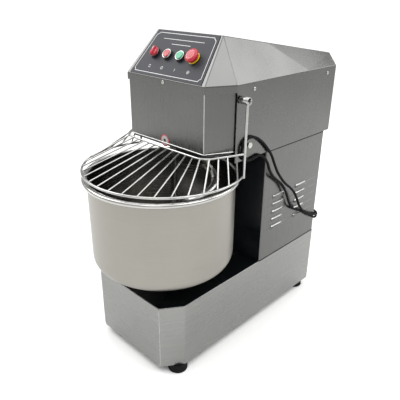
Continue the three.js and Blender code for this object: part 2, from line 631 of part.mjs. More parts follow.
// ---------- power cord ----------
// Out of the gland, round the rear corner, up the side, over the stud, back down and to the floor.
const CORD_ROUTE = [
  [75, 398.3, 262], [75, 406, 262], [79.5, 422, 262], [91, 434, 262.5], [107, 438, 264],
  [128, 429, 268], [148, 412, 274], [165, 395, 278.5], [174, 381, 282], [178, 364, 287],
  [181, 345, 295], [183, 322, 306], [187, 292, 323], [188, 259, 344], [188, 237, 369], [188, 222, 395],
  [188, 204, 420], [188, 180, 443], [188, 150, 466], [188, 126, 490], [187, 106, 515], [186.5, 90, 542],
  [186, 73, 572], [186, 56, 592], [186, 30, 617], [186, -1, 637], [186, -26, 643], [186, -42.5, 638.5],
  [186, -53.5, 627], [186, -57, 611.5], [186, -53, 597], [186, -40, 586], [186, -24, 581.5], [186, -4, 583],
  [186, 14, 585.5], [186, 30, 580], [186, 44, 569], [185.5, 58, 553], [184, 73, 527], [182, 93, 503],
  [180, 118, 483], [180, 143, 463], [180, 168, 432], [180, 189, 394], [180, 207, 368], [180, 234, 350],
  [180, 270, 332], [180, 305, 311], [179, 336, 291], [177.5, 361, 277.5], [172.5, 381, 273.5],
  [161.5, 394, 272.4], [145, 399.5, 272.3], [110, 399, 272.3], [75, 398, 272.3], [56, 397.5, 270],
  [39, 398, 260], [29.5, 398, 243], [27, 398, 220], [27, 398, 150], [27, 398, 100], [27, 398, 62],
  [23.5, 399, 39], [13, 401.5, 18], [-4, 404, 6.3], [-18, 405, 4.1], [-26.2, 405, 4.1],
];

function makeCord() {
  const { glandX, glandZ, glandLength, radius, sides, steps } = CORD;
  const rear = COLUMN.rear + GAP;
  const end = COLUMN.rear + glandLength;
  const gland = [[0, 0], [13, 0], [13, 9], [8.5, 11], [5.2, end - rear], [0, end - rear]];
  const body = lathe(gland, 12).rotateX(-Math.PI / 2).translate(glandX, rear, glandZ);
  add('cord_gland', body, 'rubber');
  add('power_cord', tube(CORD_ROUTE, radius, sides, steps), 'rubber');

  makeCoil();
  makePlug();
}

function makeCoil() {
  const { x, y, middle, half, bottom, top, tie, tieHalf } = COIL;
  add('cord_coil', ring(middle - half, middle + half, bottom, top, x, y, 28), 'rubber');
  const band = { in: middle - half - 0.8, out: middle + half + 0.5, low: bottom - GAP, high: top + GAP };
  const bandBox = (extra, reach) => box(
    x + band.in - extra, x + band.out + extra, y - reach, y + reach, band.low - extra, band.high + extra,
  );
  add('cord_tie', cut(bandBox(tie, tieHalf), bandBox(0, tieHalf + 1)), 'rubber');
}

// A plug lying on the floor beside the coil, with its tapered strain relief towards the cord.
function makePlug() {
  const { back, z, half, from, to, low, high, pinStep, pin, pinTo } = PLUG;
  const [x, y] = [COIL.x - back, COIL.y - COIL.middle - COIL.half / 2];
  const relief = [[0, 0], [5, 0], [8, from + 1], [0, from + 1]];
  const taper = lathe(relief, 12).rotateY(-Math.PI / 2).translate(x, y, z);
  const heart = box(x - to, x - from, y - half, y + half, low, high);
  const pins = [y - pinStep, y + pinStep].map((at) => rod([x - pinTo, at, z], [x - to + 2, at, z], pin, 10));
  add('plug', join(heart, taper, ...pins), 'rubber');
}

makeBase();
makeColumn();
makeFrame();
makeHead();
makePanel();
makeBowl();
makeHook();
makeGuard();
makeDrive();
makeCord();

export default mixer;
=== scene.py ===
"""Spiral dough mixer: the looks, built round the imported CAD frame.

Metres, +Z up, +X to the right seen from the front, and the front faces -Y. Sizes that the frame
holds are read from its nodes' boxes, and the rest are named below.
"""

import json
import math

import bmesh
import bpy
from mathutils import Matrix, Vector


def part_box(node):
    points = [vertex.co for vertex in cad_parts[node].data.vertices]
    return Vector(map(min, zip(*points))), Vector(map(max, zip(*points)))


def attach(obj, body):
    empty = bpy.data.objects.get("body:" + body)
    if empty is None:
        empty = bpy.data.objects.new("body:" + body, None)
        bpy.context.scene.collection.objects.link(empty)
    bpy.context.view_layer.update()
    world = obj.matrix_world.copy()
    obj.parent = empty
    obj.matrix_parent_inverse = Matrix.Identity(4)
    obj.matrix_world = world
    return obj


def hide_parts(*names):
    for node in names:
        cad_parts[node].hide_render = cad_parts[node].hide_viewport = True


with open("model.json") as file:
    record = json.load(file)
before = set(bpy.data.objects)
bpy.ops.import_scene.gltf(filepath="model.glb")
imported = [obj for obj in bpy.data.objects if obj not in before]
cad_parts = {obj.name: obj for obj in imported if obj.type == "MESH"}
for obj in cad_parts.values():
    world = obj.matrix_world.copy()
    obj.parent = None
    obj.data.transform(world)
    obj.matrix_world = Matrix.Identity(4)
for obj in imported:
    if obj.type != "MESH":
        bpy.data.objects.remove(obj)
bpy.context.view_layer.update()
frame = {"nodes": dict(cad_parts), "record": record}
SCENE = bpy.context.scene
MM = 0.001
SIDES = (("left", -1), ("right", 1))

# ---------- sizes ----------
BOWL_LOW, BOWL_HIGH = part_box("bowl")
BOWL_CENTRE = Vector(((BOWL_LOW.x + BOWL_HIGH.x) / 2, (BOWL_LOW.y + BOWL_HIGH.y) / 2, 0))
BOWL_BEAD = 6.75 * MM  # radius of the rolled rim
BOWL_WALL = 2 * MM
BOWL_RADIUS = (BOWL_HIGH.x - BOWL_LOW.x) / 2 - 2 * BOWL_BEAD
BOWL_FILLET = 36 * MM

GUARD_RING = {"y": -0.153, "z": 0.552, "radius": 0.219, "wire": 0.0033, "half_angle": 112.8,
              "steps": 72}
GUARD_RAIL = {"wire": 0.0029, "half": [(0, -0.163, 0.606), (0.139, -0.161, 0.606), (0.160, -0.147, 0.607),
                                       (0.185, -0.101, 0.61), (0.205, -0.068, 0.613)]}
GUARD_BARS = {"each_side": 10, "angle": 10.4, "step": 0.0234, "wire": 0.0021}
GUARD_ARM = {"x": 0.205, "y": -0.068, "middle_z": 0.65, "wire": 0.0036}
HINGE = {"y": -0.066, "z": 0.745, "tube": 0.0095, "bore": 0.0075, "from": 0.183, "to": 0.211}

SIDE_LOW, SIDE_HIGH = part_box("column_side_right")
SIDE_FACE = 0.170  # outer face of the side panels
LOUVRE = {"rows": 5, "first": 0.319, "pitch": 0.0255, "half": 0.029, "centres": (0.147, 0.264),
          "proud": 0.005, "height": 0.0105, "slot": 0.0016, "recess": 0.004, "bright": 0.55,
          "round_from": 0.6, "end_height": 0.35, "slot_half": 0.94, "crest": 0.45}

PLATE = {"half": 133, "top_half": 112, "half_length": 67.5}  # millimetres, in the slope's plane
PANEL_STEP = 0.0475
PANEL_ROW = -0.004  # the controls' height on the slope
PANEL_PLACES = {"selector": -1.5, "stop": -0.5, "start": 0.5, "emergency": 1.5}
INK = (1.45, 1.62)  # millimetres, the printing's underside and top above the slope


# ---------- forms ----------
def catmull_rom(points, per_span):
    """A smooth line through the points, with the centripetal rule, as the CAD's cord has."""
    p = [Vector(q) for q in points]
    p = [2 * p[0] - p[1], *p, 2 * p[-1] - p[-2]]
    line = []
    for a, b, c, d in zip(p, p[1:], p[2:], p[3:]):
        t0, t1, t2 = ((v - u).length ** 0.5 for u, v in ((a, b), (b, c), (c, d)))
        leave = ((b - a) / t0 - (c - a) / (t0 + t1) + (c - b) / t1) * t1
        arrive = ((c - b) / t1 - (d - b) / (t1 + t2) + (d - c) / t2) * t1
        for i in range(per_span):
            t = i / per_span
            line.append((2 * t**3 - 3 * t**2 + 1) * b + (t**3 - 2 * t**2 + t) * leave
                        + (3 * t**2 - 2 * t**3) * c + (t**3 - t**2) * arrive)
    return [*line, p[-2]]


def rounded(points, radius, steps=4, closed=False):
    """A line of points with each corner turned into a short curve."""
    p = [Vector(q) for q in points]
    n = len(p)
    line = [] if closed else [p[0]]
    for i in range(0 if closed else 1, n if closed else n - 1):
        before, here, after = p[i - 1], p[i], p[(i + 1) % n]
        reach = min(radius, 0.45 * (here - before).length, 0.45 * (after - here).length)
        start = here + (before - here).normalized() * reach
        end = here + (after - here).normalized() * reach
        for k in range(steps + 1):
            t = k / steps
            line.append((1 - t) ** 2 * start + 2 * t * (1 - t) * here + t * t * end)
    return line if closed else [*line, p[-1]]


def offset_outline(outline, d, closed=True):
    """A counter-clockwise outline in plan, moved inwards by d."""
    n = len(outline)
    moved = []
    for i, (x, y) in enumerate(outline):
        into = []
        for a, b in ((i - 1, i), (i, i + 1)):
            if closed or (0 <= a and b < n):
                along = Vector(outline[b % n]) - Vector(outline[a % n])
                into.append(Vector((-along.y, along.x)).normalized())
        if len(into) == 1:
            moved.append(Vector((x, y)) + into[0] * d)
            continue
        mean = (into[0] + into[1]).normalized()
        moved.append(Vector((x, y)) + mean * (d / max(0.3, mean.dot(into[0]))))
    return moved


class Shape:
    """Points and faces of one piece, gathered from simple forms."""

    def __init__(self):
        self.points, self.faces = [], []

    def put(self, points, faces, place=None):
        start = len(self.points)
        place = place or Matrix.Identity(4)
        self.points += [place @ Vector(p) for p in points]
        self.faces += [tuple(start + i for i in face) for face in faces]
        return self

    def rings(self, rows, place=None, caps=True, around=True):
        """Skins a stack of rows with the same number of points; a closed stack repeats its first row."""
        points, faces, n = [], [], len(rows[0])
        looped = rows[0] is rows[-1]
        kept = rows[:-1] if looped else rows
        for row in kept:
            points += row
        count = len(kept)
        for k in range(count if looped else count - 1):
            low, high = k * n, ((k + 1) % count) * n
            for i in range(n if around else n - 1):
                j = (i + 1) % n
                faces.append((low + i, low + j, high + j, high + i))
        if caps and not looped:
            faces.append(tuple(reversed(range(n))))
            faces.append(tuple(range((count - 1) * n, count * n)))
        return self.put(points, faces, place)

    def lathe(self, profile, segments=48, place=None):
        """Turns a profile of (radius, height) about the local Z axis. It goes up on the outside."""
        turns = [2 * math.pi * i / segments for i in range(segments)]
        rows = [[Vector((r * math.cos(a), r * math.sin(a), z)) for a in turns] for r, z in profile]
        if profile[0] == profile[-1]:
            rows[-1] = rows[0]
        return self.rings(rows, place, caps=False)

    def turned(self, profile, segments=48, place=None):
        """As lathe, from a profile in millimetres."""
        return self.lathe([(r * MM, z * MM) for r, z in profile], segments, place)

    def sweep(self, line, radius, sides=12, place=None):
        """Carries a round section along a line; radius is a number, or one for each point."""
        line = [Vector(p) for p in line]
        radii = radius if isinstance(radius, list) else [radius] * len(line)
        across = (line[1] - line[0]).orthogonal().normalized()
        rows = []
        for i, p in enumerate(line):
            along = (line[min(i + 1, len(line) - 1)] - line[max(i - 1, 0)]).normalized()
            across = (across - along * across.dot(along)).normalized()
            other = along.cross(across)
            turns = [2 * math.pi * k / sides for k in range(sides)]
            rows.append([p + radii[i] * (math.cos(a) * across + math.sin(a) * other) for a in turns])
        return self.rings(rows, place)

    def wall(self, outline, section, closed=True):
        """Carries a section of (inset, z) points along an outline in plan."""
        rows = [[Vector((*q, z)) for q in offset_outline(outline, d, closed)] for d, z in section]
        n = len(rows)
        if closed:
            return self.rings([*rows, rows[0]])
        self.rings([*rows, rows[0]], around=False)
        base = len(self.points) - n * len(outline)
        last = len(outline) - 1
        self.faces.append(tuple(base + k * len(outline) for k in range(n)))
        self.faces.append(tuple(base + k * len(outline) + last for k in reversed(range(n))))
        return self

    def prism(self, outline, low, high, place=None):
        rows = [[Vector((*q, z)) for q in outline] for z in (low, high)]
        return self.rings(rows, place)

    def block(self, x0, x1, y0, y1, z0, z1, place=None):
        return self.prism([(x0, y0), (x1, y0), (x1, y1), (x0, y1)], z0, z1, place)

    def ball(self, centre, radius, segments=10):
        arc = [math.radians(a) for a in range(-90, 91, 30)]
        profile = [(radius * math.cos(a), radius * math.sin(a)) for a in arc]
        return self.lathe(profile, segments, Matrix.Translation(centre))


def pointing(direction, at=(0, 0, 0)):
    """A placing that turns local Z along a direction, at a point."""
    return Matrix.Translation(at) @ Vector(direction).to_track_quat("Z", "Y").to_matrix().to_4x4()


def link_object(name, data):
    made = bpy.data.objects.new(name, data)
    SCENE.collection.objects.link(made)
    return made


def make_piece(name, shape, look, stands_for=(), body="machine", crease=32):
    """A piece that rides on a body and may stand for CAD nodes. Its slot is its look's name."""
    mesh = bpy.data.meshes.new(name)
    mesh.from_pydata(shape.points, [], shape.faces)
    piece = link_object(name, mesh)
    weld_points(mesh)
    mesh.polygons.foreach_set("use_smooth", [True] * len(mesh.polygons))
    mesh.set_sharp_from_angle(angle=math.radians(crease))
    mesh.materials.append(LOOKS[look])
    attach(piece, body)
    if stands_for:
        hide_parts(*stands_for)
    return piece


def weld_points(mesh):
    work = bmesh.new()
    work.from_mesh(mesh)
    bmesh.ops.remove_doubles(work, verts=work.verts, dist=1e-6)
    bmesh.ops.dissolve_degenerate(work, edges=work.edges, dist=1e-7)
    work.to_mesh(mesh)
    work.free()


def thicken(piece, thickness):
    """Gives a sheet its thickness, on the inside."""
    sheet = piece.modifiers.new("sheet", "SOLIDIFY")
    sheet.thickness = thickness
    sheet.offset = -1


def soften(piece, width, segments=2, angle=30):
    """Rounds a piece's edges."""
    bevel = piece.modifiers.new("edges", "BEVEL")
    bevel.width = width
    bevel.segments = segments
    bevel.limit_method = "ANGLE"
    bevel.angle_limit = math.radians(angle)
    bevel.harden_normals = True
    return piece


# ---------- materials ----------
class Look:
    """A material's nodes, with short calls for those it needs. Textures are placed in metres."""

    def __init__(self, name, color, metallic=0.0, roughness=0.4):
        self.material = bpy.data.materials.new(name)
        self.material.use_nodes = True
        self.tree = self.material.node_tree
        self.shader = self.tree.nodes["Principled BSDF"]
        self.place = self.tree.nodes.new("ShaderNodeTexCoord").outputs["Object"]
        self.material.diffuse_color = (*color, 1)
        self.normal = None
        self.set(metallic, "Metallic")
        self.set(roughness, "Roughness")
        self.set((*color, 1), "Base Color")

    def set(self, value, socket, node=None):
        target = (node or self.shader).inputs[socket]
        if isinstance(value, bpy.types.NodeSocket):
            self.tree.links.new(value, target)
        else:
            target.default_value = value

    def node(self, kind, inputs, **settings):
        made = self.tree.nodes.new(kind)
        for key, value in settings.items():
            setattr(made, key, value)
        for socket, value in inputs.items():
            self.set(value, socket, made)
        return made

    def noise(self, scale, detail=3.0, stretch=(1, 1, 1), at=(0, 0, 0)):
        """Noise about scale to the metre, finer along the axes with a large stretch."""
        mapping = self.node("ShaderNodeMapping", {"Vector": self.place, "Scale": stretch, "Location": at})
        texture = {"Vector": mapping.outputs[0], "Scale": scale, "Detail": detail}
        return self.node("ShaderNodeTexNoise", texture).outputs["Fac"]

    def span(self, value, low, high, start=0.3, end=0.7):
        inputs = {"Value": value, "From Min": start, "From Max": end, "To Min": low, "To Max": high}
        return self.node("ShaderNodeMapRange", inputs).outputs["Result"]

    def vary(self, factor, first, second):
        """Blends the base colour. The Mix node's colours are its inputs 6 and 7, and its output 2."""
        made = self.node("ShaderNodeMix", {"Factor": factor}, data_type="RGBA")
        self.set((*first, 1), 6, made)
        self.set((*second, 1), 7, made)
        self.set(made.outputs[2], "Base Color")

    def add(self, *values):
        total = values[0]
        for value in values[1:]:
            total = self.node("ShaderNodeMath", {0: total, 1: value}, operation="ADD").outputs[0]
        return total

    def bump(self, height, distance, strength=1.0):
        inputs = {"Height": height, "Distance": distance, "Strength": strength}
        if self.normal:
            inputs["Normal"] = self.normal
        self.normal = self.node("ShaderNodeBump", inputs).outputs["Normal"]
        self.set(self.normal, "Normal")


def shade(color, factor):
    return tuple(min(1.0, c * factor) for c in color)


def sheet_steel(name, color, roughness, stretch):
    """Rolled sheet: fine grain lines, faint handling marks, and the slight waves of thin panels."""
    look = Look(name, color, 1.0, roughness)
    grain = look.noise(1.0, 5.0, stretch)
    smudge = look.noise(9.0, 4.0, at=(3.1, 1.7, 0.4))
    cloud = look.noise(2.2, 2.0, at=(0.3, 5.1, 2.4))
    look.vary(look.span(look.add(grain, cloud), 0, 1, 0.7, 1.3), shade(color, 0.95), shade(color, 1.05))
    rough = look.add(look.span(grain, roughness - 0.03, roughness + 0.03), look.span(smudge, -0.03, 0.06))
    look.set(rough, "Roughness")
    look.bump(look.noise(3.0, 1.0, at=(1.2, 0.4, 7.7)), 0.008, 0.7)
    look.bump(grain, 0.0001, 0.07)
    return look.material


def spun_steel(name, color, roughness):
    """A turned or spun metal piece: fine rings at each height, and soft marks from use."""
    look = Look(name, color, 1.0, roughness)
    rings = look.noise(1.0, 4.0, (6, 6, 900))
    marks = look.noise(14.0, 4.0, at=(2, 1, 5))
    look.vary(look.span(look.add(rings, marks), 0, 1, 0.7, 1.3), shade(color, 0.94), shade(color, 1.06))
    rough = look.add(look.span(rings, roughness - 0.04, roughness + 0.04), look.span(marks, -0.02, 0.06))
    look.set(rough, "Roughness")
    look.bump(rings, 0.0002, 0.3)
    return look.material


def plain_metal(name, color, roughness, mark_scale=60.0, depth=0.0002):
    """Small metal: a little tarnish, and fine scratches."""
    look = Look(name, color, 1.0, roughness)
    tarnish = look.noise(mark_scale, 4.0)
    scratch = look.noise(1.0, 3.0, (500, 500, 60), (4, 2, 1))
    look.vary(look.span(tarnish, 0, 1), shade(color, 0.8), shade(color, 1.1))
    rough = look.add(look.span(tarnish, roughness, roughness + 0.12), look.span(scratch, -0.03, 0.05))
    look.set(rough, "Roughness")
    look.bump(scratch, depth, 0.25)
    return look.material


def paint(name, color, roughness, peel=0.3, dust=0.12, gloss=0.5):
    """Sprayed paint: the slight ripple of a sprayed coat, and dust that lightens it in patches."""
    look = Look(name, color, 0.0, roughness)
    look.set(gloss, "Specular IOR Level")
    patches = look.noise(7.0, 5.0)
    dusty = tuple(c + dust * (0.45 - c) for c in color)
    look.vary(look.span(patches, 0, 1, 0.45, 0.75), color, dusty)
    look.set(look.span(patches, roughness, roughness + 0.12), "Roughness")
    look.bump(look.noise(420.0, 2.0), 0.0003, peel)
    return look.material


def plastic(name, color, roughness, texture=0.25, scale=1400.0):
    """Moulded plastic: a fine spark texture and slight wear in the colour."""
    look = Look(name, color, 0.0, roughness)
    wear = look.noise(40.0, 4.0)
    look.vary(look.span(wear, 0, 1), shade(color, 0.85), shade(color, 1.12))
    look.set(look.span(wear, roughness, roughness + 0.1), "Roughness")
    look.bump(look.noise(scale, 2.0), 0.0002, texture)
    return look.material


def rubber(name, color, roughness, scuffed=0.04, gloss=0.5):
    """Black rubber or soft PVC: pale scuffs, and a dull fine grain."""
    look = Look(name, color, 0.0, roughness)
    look.set(gloss, "Specular IOR Level")
    scuff = look.noise(90.0, 5.0)
    look.vary(look.span(scuff, 0, 1, 0.5, 0.8), color, tuple(c + scuffed for c in color))
    look.set(look.span(scuff, roughness, min(1.0, roughness + 0.2)), "Roughness")
    look.bump(look.noise(900.0, 3.0), 0.0002, 0.4)
    return look.material


STEEL = (0.122, 0.122, 0.119)
RECIPES = {
    "stainless": (sheet_steel, STEEL, 0.26, (260, 260, 3)),
    # the same sheet steel at 1.95 times the lightness, for the base's skirt and the head's underside:
    # painted light
    "stainless_level": (sheet_steel, shade(STEEL, 1.95), 0.26, (3, 3, 260)),
    "hood_steel": (sheet_steel, shade(STEEL, 1.0), 0.24, (3, 260, 260)),
    "black_paint": (paint, (0.005, 0.006, 0.008), 0.1, 0.1, 0.03),
    "deck_paint": (paint, (0.002, 0.003, 0.0035), 0.22, 0.2, 0.015),
    "frame_paint": (paint, (0.05, 0.055, 0.06), 0.45),
    "foot_rubber": (rubber, (0.002, 0.002, 0.0025), 0.6, 0.012, 0.15),
    "zinc_screw": (plain_metal, (0.42, 0.42, 0.4), 0.2),
    "panel_paint": (paint, (0.028, 0.029, 0.035), 0.5, 0.15, 0.03, 0.3),
    "black_plastic": (plastic, (0.005, 0.005, 0.006), 0.35),
    "red_plastic": (plastic, (0.36, 0.01, 0.025), 0.22, 0.1),
    "green_plastic": (plastic, (0.03, 0.3, 0.16), 0.25, 0.1),
    "yellow_plastic": (plastic, (0.7, 0.45, 0.02), 0.3),
    "stem_plastic": (plastic, (0.008, 0.008, 0.008), 0.45),
    "bowl_steel": (spun_steel, (0.288, 0.277, 0.252), 0.38),
    "bowl_inside": (spun_steel, (0.3, 0.295, 0.285), 0.22),
    # much lighter steel for the louvres' upward faces: a painted highlight
    "worn_edge": (plain_metal, (0.5, 0.5, 0.49), 0.35, 60.0, 0.0001),
    # bright metal: the bezels' own finish, and on the rods along the base's and nose's folds and the nose's
    # hem it paints their highlights
    "polished": (plain_metal, (0.4, 0.4, 0.39), 0.12, 40.0, 0.0001),
    # lighter than the bowl's own steel: a painted highlight along the rolled rim
    "bowl_rim": (spun_steel, (0.45, 0.445, 0.43), 0.14),
    "tool_steel": (spun_steel, (0.42, 0.415, 0.4), 0.2),
    "wire_steel": (plain_metal, (0.42, 0.42, 0.41), 0.16, 30.0, 0.0001),
    "drive_iron": (spun_steel, (0.1, 0.1, 0.1), 0.5),
    "drive_steel": (spun_steel, (0.28, 0.28, 0.28), 0.35),
    "belt_rubber": (rubber, (0.01, 0.01, 0.01), 0.7),
    "chain_steel": (plain_metal, (0.16, 0.155, 0.15), 0.4),
    "box_plastic": (plastic, (0.3, 0.3, 0.31), 0.5),
    "cord_rubber": (rubber, (0.002, 0.002, 0.0025), 0.6, 0.004, 0.12),
    "white_ink": (paint, (0.6, 0.6, 0.6), 0.5, 0.1, 0.05),
    "red_ink": (paint, (0.42, 0.01, 0.03), 0.4, 0.1, 0.03),
    "pale_red": (plastic, (0.62, 0.25, 0.25), 0.3, 0.1),
    "mark_white": (paint, (0.4, 0.39, 0.38), 0.3, 0.1, 0.05),
}
LOOKS = {name: recipe(name, *values) for name, (recipe, *values) in RECIPES.items()}


# ---------- camera ----------
CAMERA = {"at": (0.901, -0.939, 0.996), "azimuth": 44.28, "elevation": 24.66, "roll": 0.555,
          "lens": 42.305, "sensor": 36.0}


def make_camera():
    data = bpy.data.cameras.new("camera")
    data.lens, data.sensor_width = CAMERA["lens"], CAMERA["sensor"]
    data.clip_end = 200
    camera = link_object("camera", data)
    a, e, r = (math.radians(CAMERA[k]) for k in ("azimuth", "elevation", "roll"))
    back = Vector((math.sin(a) * math.cos(e), -math.cos(a) * math.cos(e), math.sin(e)))
    level = Vector((math.cos(a), math.sin(a), 0))
    upright = back.cross(level)
    right = level * math.cos(r) + upright * math.sin(r)
    turn = Matrix((right, back.cross(right), back)).transposed().to_4x4()
    camera.matrix_world = Matrix.Translation(CAMERA["at"]) @ turn
    SCENE.camera = camera


# ---------- power cord ----------
# The same points as the CAD's route, in millimetres, up to where it reaches the coil.
CORD_ROUTE = [
    (75, 398.3, 262), (75, 406, 262), (79.5, 422, 262), (91, 434, 262.5), (107, 438, 264),
    (128, 429, 268), (148, 412, 274), (165, 395, 278.5), (174, 381, 282), (178, 364, 287),
    (181, 345, 295), (183, 322, 306), (187, 292, 323), (188, 259, 344), (188, 237, 369),
    (188, 222, 395), (188, 204, 420), (188, 180, 443), (188, 150, 466), (188, 126, 490),
    (187, 106, 515), (186.5, 90, 542), (186, 73, 572), (186, 56, 592), (186, 30, 617), (186, -1, 637),
    (186, -26, 643), (186, -42.5, 638.5), (186, -53.5, 627), (186, -57, 611.5), (186, -53, 597),
    (186, -40, 586), (186, -24, 581.5), (186, -4, 583), (186, 14, 585.5), (186, 30, 580),
    (186, 44, 569), (185.5, 58, 553), (184, 73, 527), (182, 93, 503), (180, 118, 483), (180, 143, 463),
    (180, 168, 432), (180, 189, 394), (180, 207, 368), (180, 234, 350), (180, 270, 332),
    (180, 305, 311), (179, 336, 291), (177.5, 361, 277.5), (172.5, 381, 273.5), (161.5, 394, 272.4),
    (145, 399.5, 272.3), (110, 399, 272.3), (75, 398, 272.3), (56, 397.5, 270), (39, 398, 260),
    (29.5, 398, 243), (27, 398, 220), (27, 398, 150), (27, 398, 100), (27, 398, 62), (23.5, 399, 39),
    (13, 401.5, 18), (-4, 404, 6.3), (-18, 405, 4.1), (-34, 404, 4.1),
]
CORD_RADIUS = 0.00375
COIL_LOW, COIL_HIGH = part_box("cord_coil")
COIL_CENTRE = (COIL_LOW + COIL_HIGH) / 2
COIL = {"inner": 0.0361, "outer": 0.0439, "low": 0.0041, "high": 0.0118, "turns": 3}
PLUG_LOW, PLUG_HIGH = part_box("plug")


def ease(value, start, end):
    """0 before start, 1 after end, and smooth between."""
    t = min(1.0, max(0.0, (value - start) / (end - start)))
    return t * t * (3 - 2 * t)


def coil_line():
    """Three turns, two beside each other on the floor and the rest on top, clockwise from the near side."""
    line = []
    for turned in range(0, 360 * COIL["turns"] + 1, 10):
        inwards = ease(turned, 255, 338) - ease(turned, 730, 930)
        radius = COIL["outer"] + inwards * (COIL["inner"] - COIL["outer"])
        height = COIL["low"] + ease(turned, 510, 600) * (COIL["high"] - COIL["low"])
        angle = math.radians(-90 - turned)
        offset = (radius * math.cos(angle), radius * math.sin(angle))
        line.append((COIL_CENTRE.x + offset[0], COIL_CENTRE.y + offset[1], height))
    return line


def make_cord():
    route = [Vector(p) * MM for p in CORD_ROUTE]
    coil = coil_line()
    entry = (PLUG_HIGH.x - 8 * MM, coil[-1][1], COIL["high"])
    line = catmull_rom([*route, *coil, ((coil[-1][0] + entry[0]) / 2, *entry[1:]), entry], 6)
    data = bpy.data.curves.new("power_cord_line", "CURVE")
    data.dimensions = "3D"
    spline = data.splines.new("POLY")
    spline.points.add(len(line) - 1)
    for point, p in zip(spline.points, line):
        point.co = (*p, 1)
    data.bevel_depth = CORD_RADIUS
    data.bevel_resolution = 4
    data.use_fill_caps = True
    cord = link_object("mains_cord", data)
    data.materials.append(LOOKS["cord_rubber"])
    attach(cord, "machine")
    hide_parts("power_cord", "cord_coil")
    ends = [make_plug(), make_tie()]


def squared(value):
    """Carries a circle's cosine or sine towards a rounded square's."""
    return math.copysign(abs(value) ** 0.6, value)


def make_plug():
    """A moulded plug: a waisted grip, a ribbed strain relief and two round pins."""
    middle_y = (PLUG_LOW.y + PLUG_HIGH.y) / 2
    height = COIL["high"] + 0.0005
    front = PLUG_HIGH.x
    shape = Shape()
    relief = [(0, 0), (4.6, 0)]
    for k in range(6):
        wide, at = 5.2 + 0.45 * k, 4 * k
        relief += [(wide, 1.5 + at), (wide, 3.9 + at), (4.4 + 0.45 * k, 4.1 + at)]
    relief += [(8, 26), (0, 26)]
    shape.turned(relief, 24,
                pointing((-1, 0, 0), (front, middle_y, height)))
    stations = [(24, 6, 6), (27, 9.5, 8), (34, 13.5, 9.5), (44, 14, 10), (52, 15.5, 10.5), (58, 17, 11.7),
                (63, 17, 11.7), (65.5, 16, 10.8)]
    turns = [2 * math.pi * k / 32 for k in reversed(range(32))]
    shape.rings([[Vector((front - back * MM, middle_y + half_y * MM * squared(math.cos(t)),
                          height + half_z * MM * squared(math.sin(t)))) for t in turns]
                 for back, half_y, half_z in stations])
    plug = make_piece("mains_plug", shape, "cord_rubber", ["plug"], crease=50)
    pins = Shape()
    for side in (-1, 1):
        pin = [(0, 0), (2.4, 0), (2.4, 17), (1.6, 19), (0, 19.5)]
        at = (front - 64.5 * MM, middle_y + side * 9.5 * MM, height)
        pins.turned(pin, 20, pointing((-1, 0, 0), at))
    metal = make_piece("mains_plug_pins", pins, "zinc_screw")
    metal.parent = plug
    metal.matrix_parent_inverse = plug.matrix_world.inverted()
    return plug


def make_tie():
    """A hook-and-loop band round the coil's turns, with its free end lapped over."""
    low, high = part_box("cord_tie")
    middle = (low + high) / 2
    half_x, half_z = (high.x - low.x) / 2, (high.z - low.z) / 2
    corners = [(-half_x, -half_z), (half_x, -half_z), (half_x, half_z), (-half_x, half_z)]
    outer = rounded([(x, z, 0) for x, z in corners], 4 * MM, 5, closed=True)
    outer = [(p.x, p.y) for p in outer]
    inner = offset_outline(outer, 1.1 * MM)
    half = 5 * MM
    rows = [[Vector((middle.x + x, middle.y + y, middle.z + z)) for x, z in loop]
            for loop, y in ((outer, -half), (outer, half), (inner, half), (inner, -half))]
    shape = Shape().rings([*rows, rows[0]])
    top = high.z
    shape.block(middle.x - 6 * MM, middle.x + 5 * MM, middle.y - half, middle.y + half, top, top + 0.9 * MM)
    tie = make_piece("coil_tie", shape, "belt_rubber", ["cord_tie"])
    return soften(tie, 0.3 * MM)


def make_gland():
    """The cord's outlet: a flange with a hexagonal nut, and a ribbed taper."""
    low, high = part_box("cord_gland")
    at = ((low.x + high.x) / 2, low.y, (low.z + high.z) / 2)
    place = pointing((0, 1, 0), at)
    shape = Shape()
    shape.turned([(0, 0), (13, 0), (13, 2), (12, 3), (0, 3)], 40, place)
    nut = 11.6 * MM
    turns = [math.radians(60 * k) for k in range(6)]
    hexagon = [(nut * math.cos(t), nut * math.sin(t)) for t in turns]
    shape.prism(hexagon, 2.8 * MM, 9 * MM, place)
    taper = [(0, 8.8), (8.8, 8.8)]
    for k in range(5):
        radius = 8.4 - 0.7 * k
        taper += [(radius, 9.2 + 3.6 * k), (radius - 0.2, 12 + 3.6 * k), (radius - 1.1, 12.4 + 3.6 * k)]
    taper += [(4.9, 27.2), (4.4, 28), (0, 28)]
    shape.turned(taper, 32, place)
    gland = make_piece("cord_outlet", shape, "cord_rubber", ["cord_gland"])
    soften(gland, 0.4 * MM)


# ---------- base ----------
def plan(points, radius, steps=5):
    """A closed outline in plan with rounded corners."""
    return [(p.x, p.y) for p in rounded([(x, y, 0) for x, y in points], radius, steps, closed=True)]


def edge(level, points):
    """Section points given in millimetres from an edge's height."""
    return [(d * MM, level + z * MM) for d, z in points]


BASE_CUT = (40 * MM, 58 * MM)  # how far the front corners are cut back, across and along
FOOT_PROFILE = [(0, 0.6), (8, 0.6), (9, 0), (25, 0), (27, 0.8), (27.9, 2.6), (28, 4), (27.4, 8), (26.4, 8.6),
                (26.4, 9.8), (27.2, 10.4), (25.2, 24.6), (0, 24.6)]


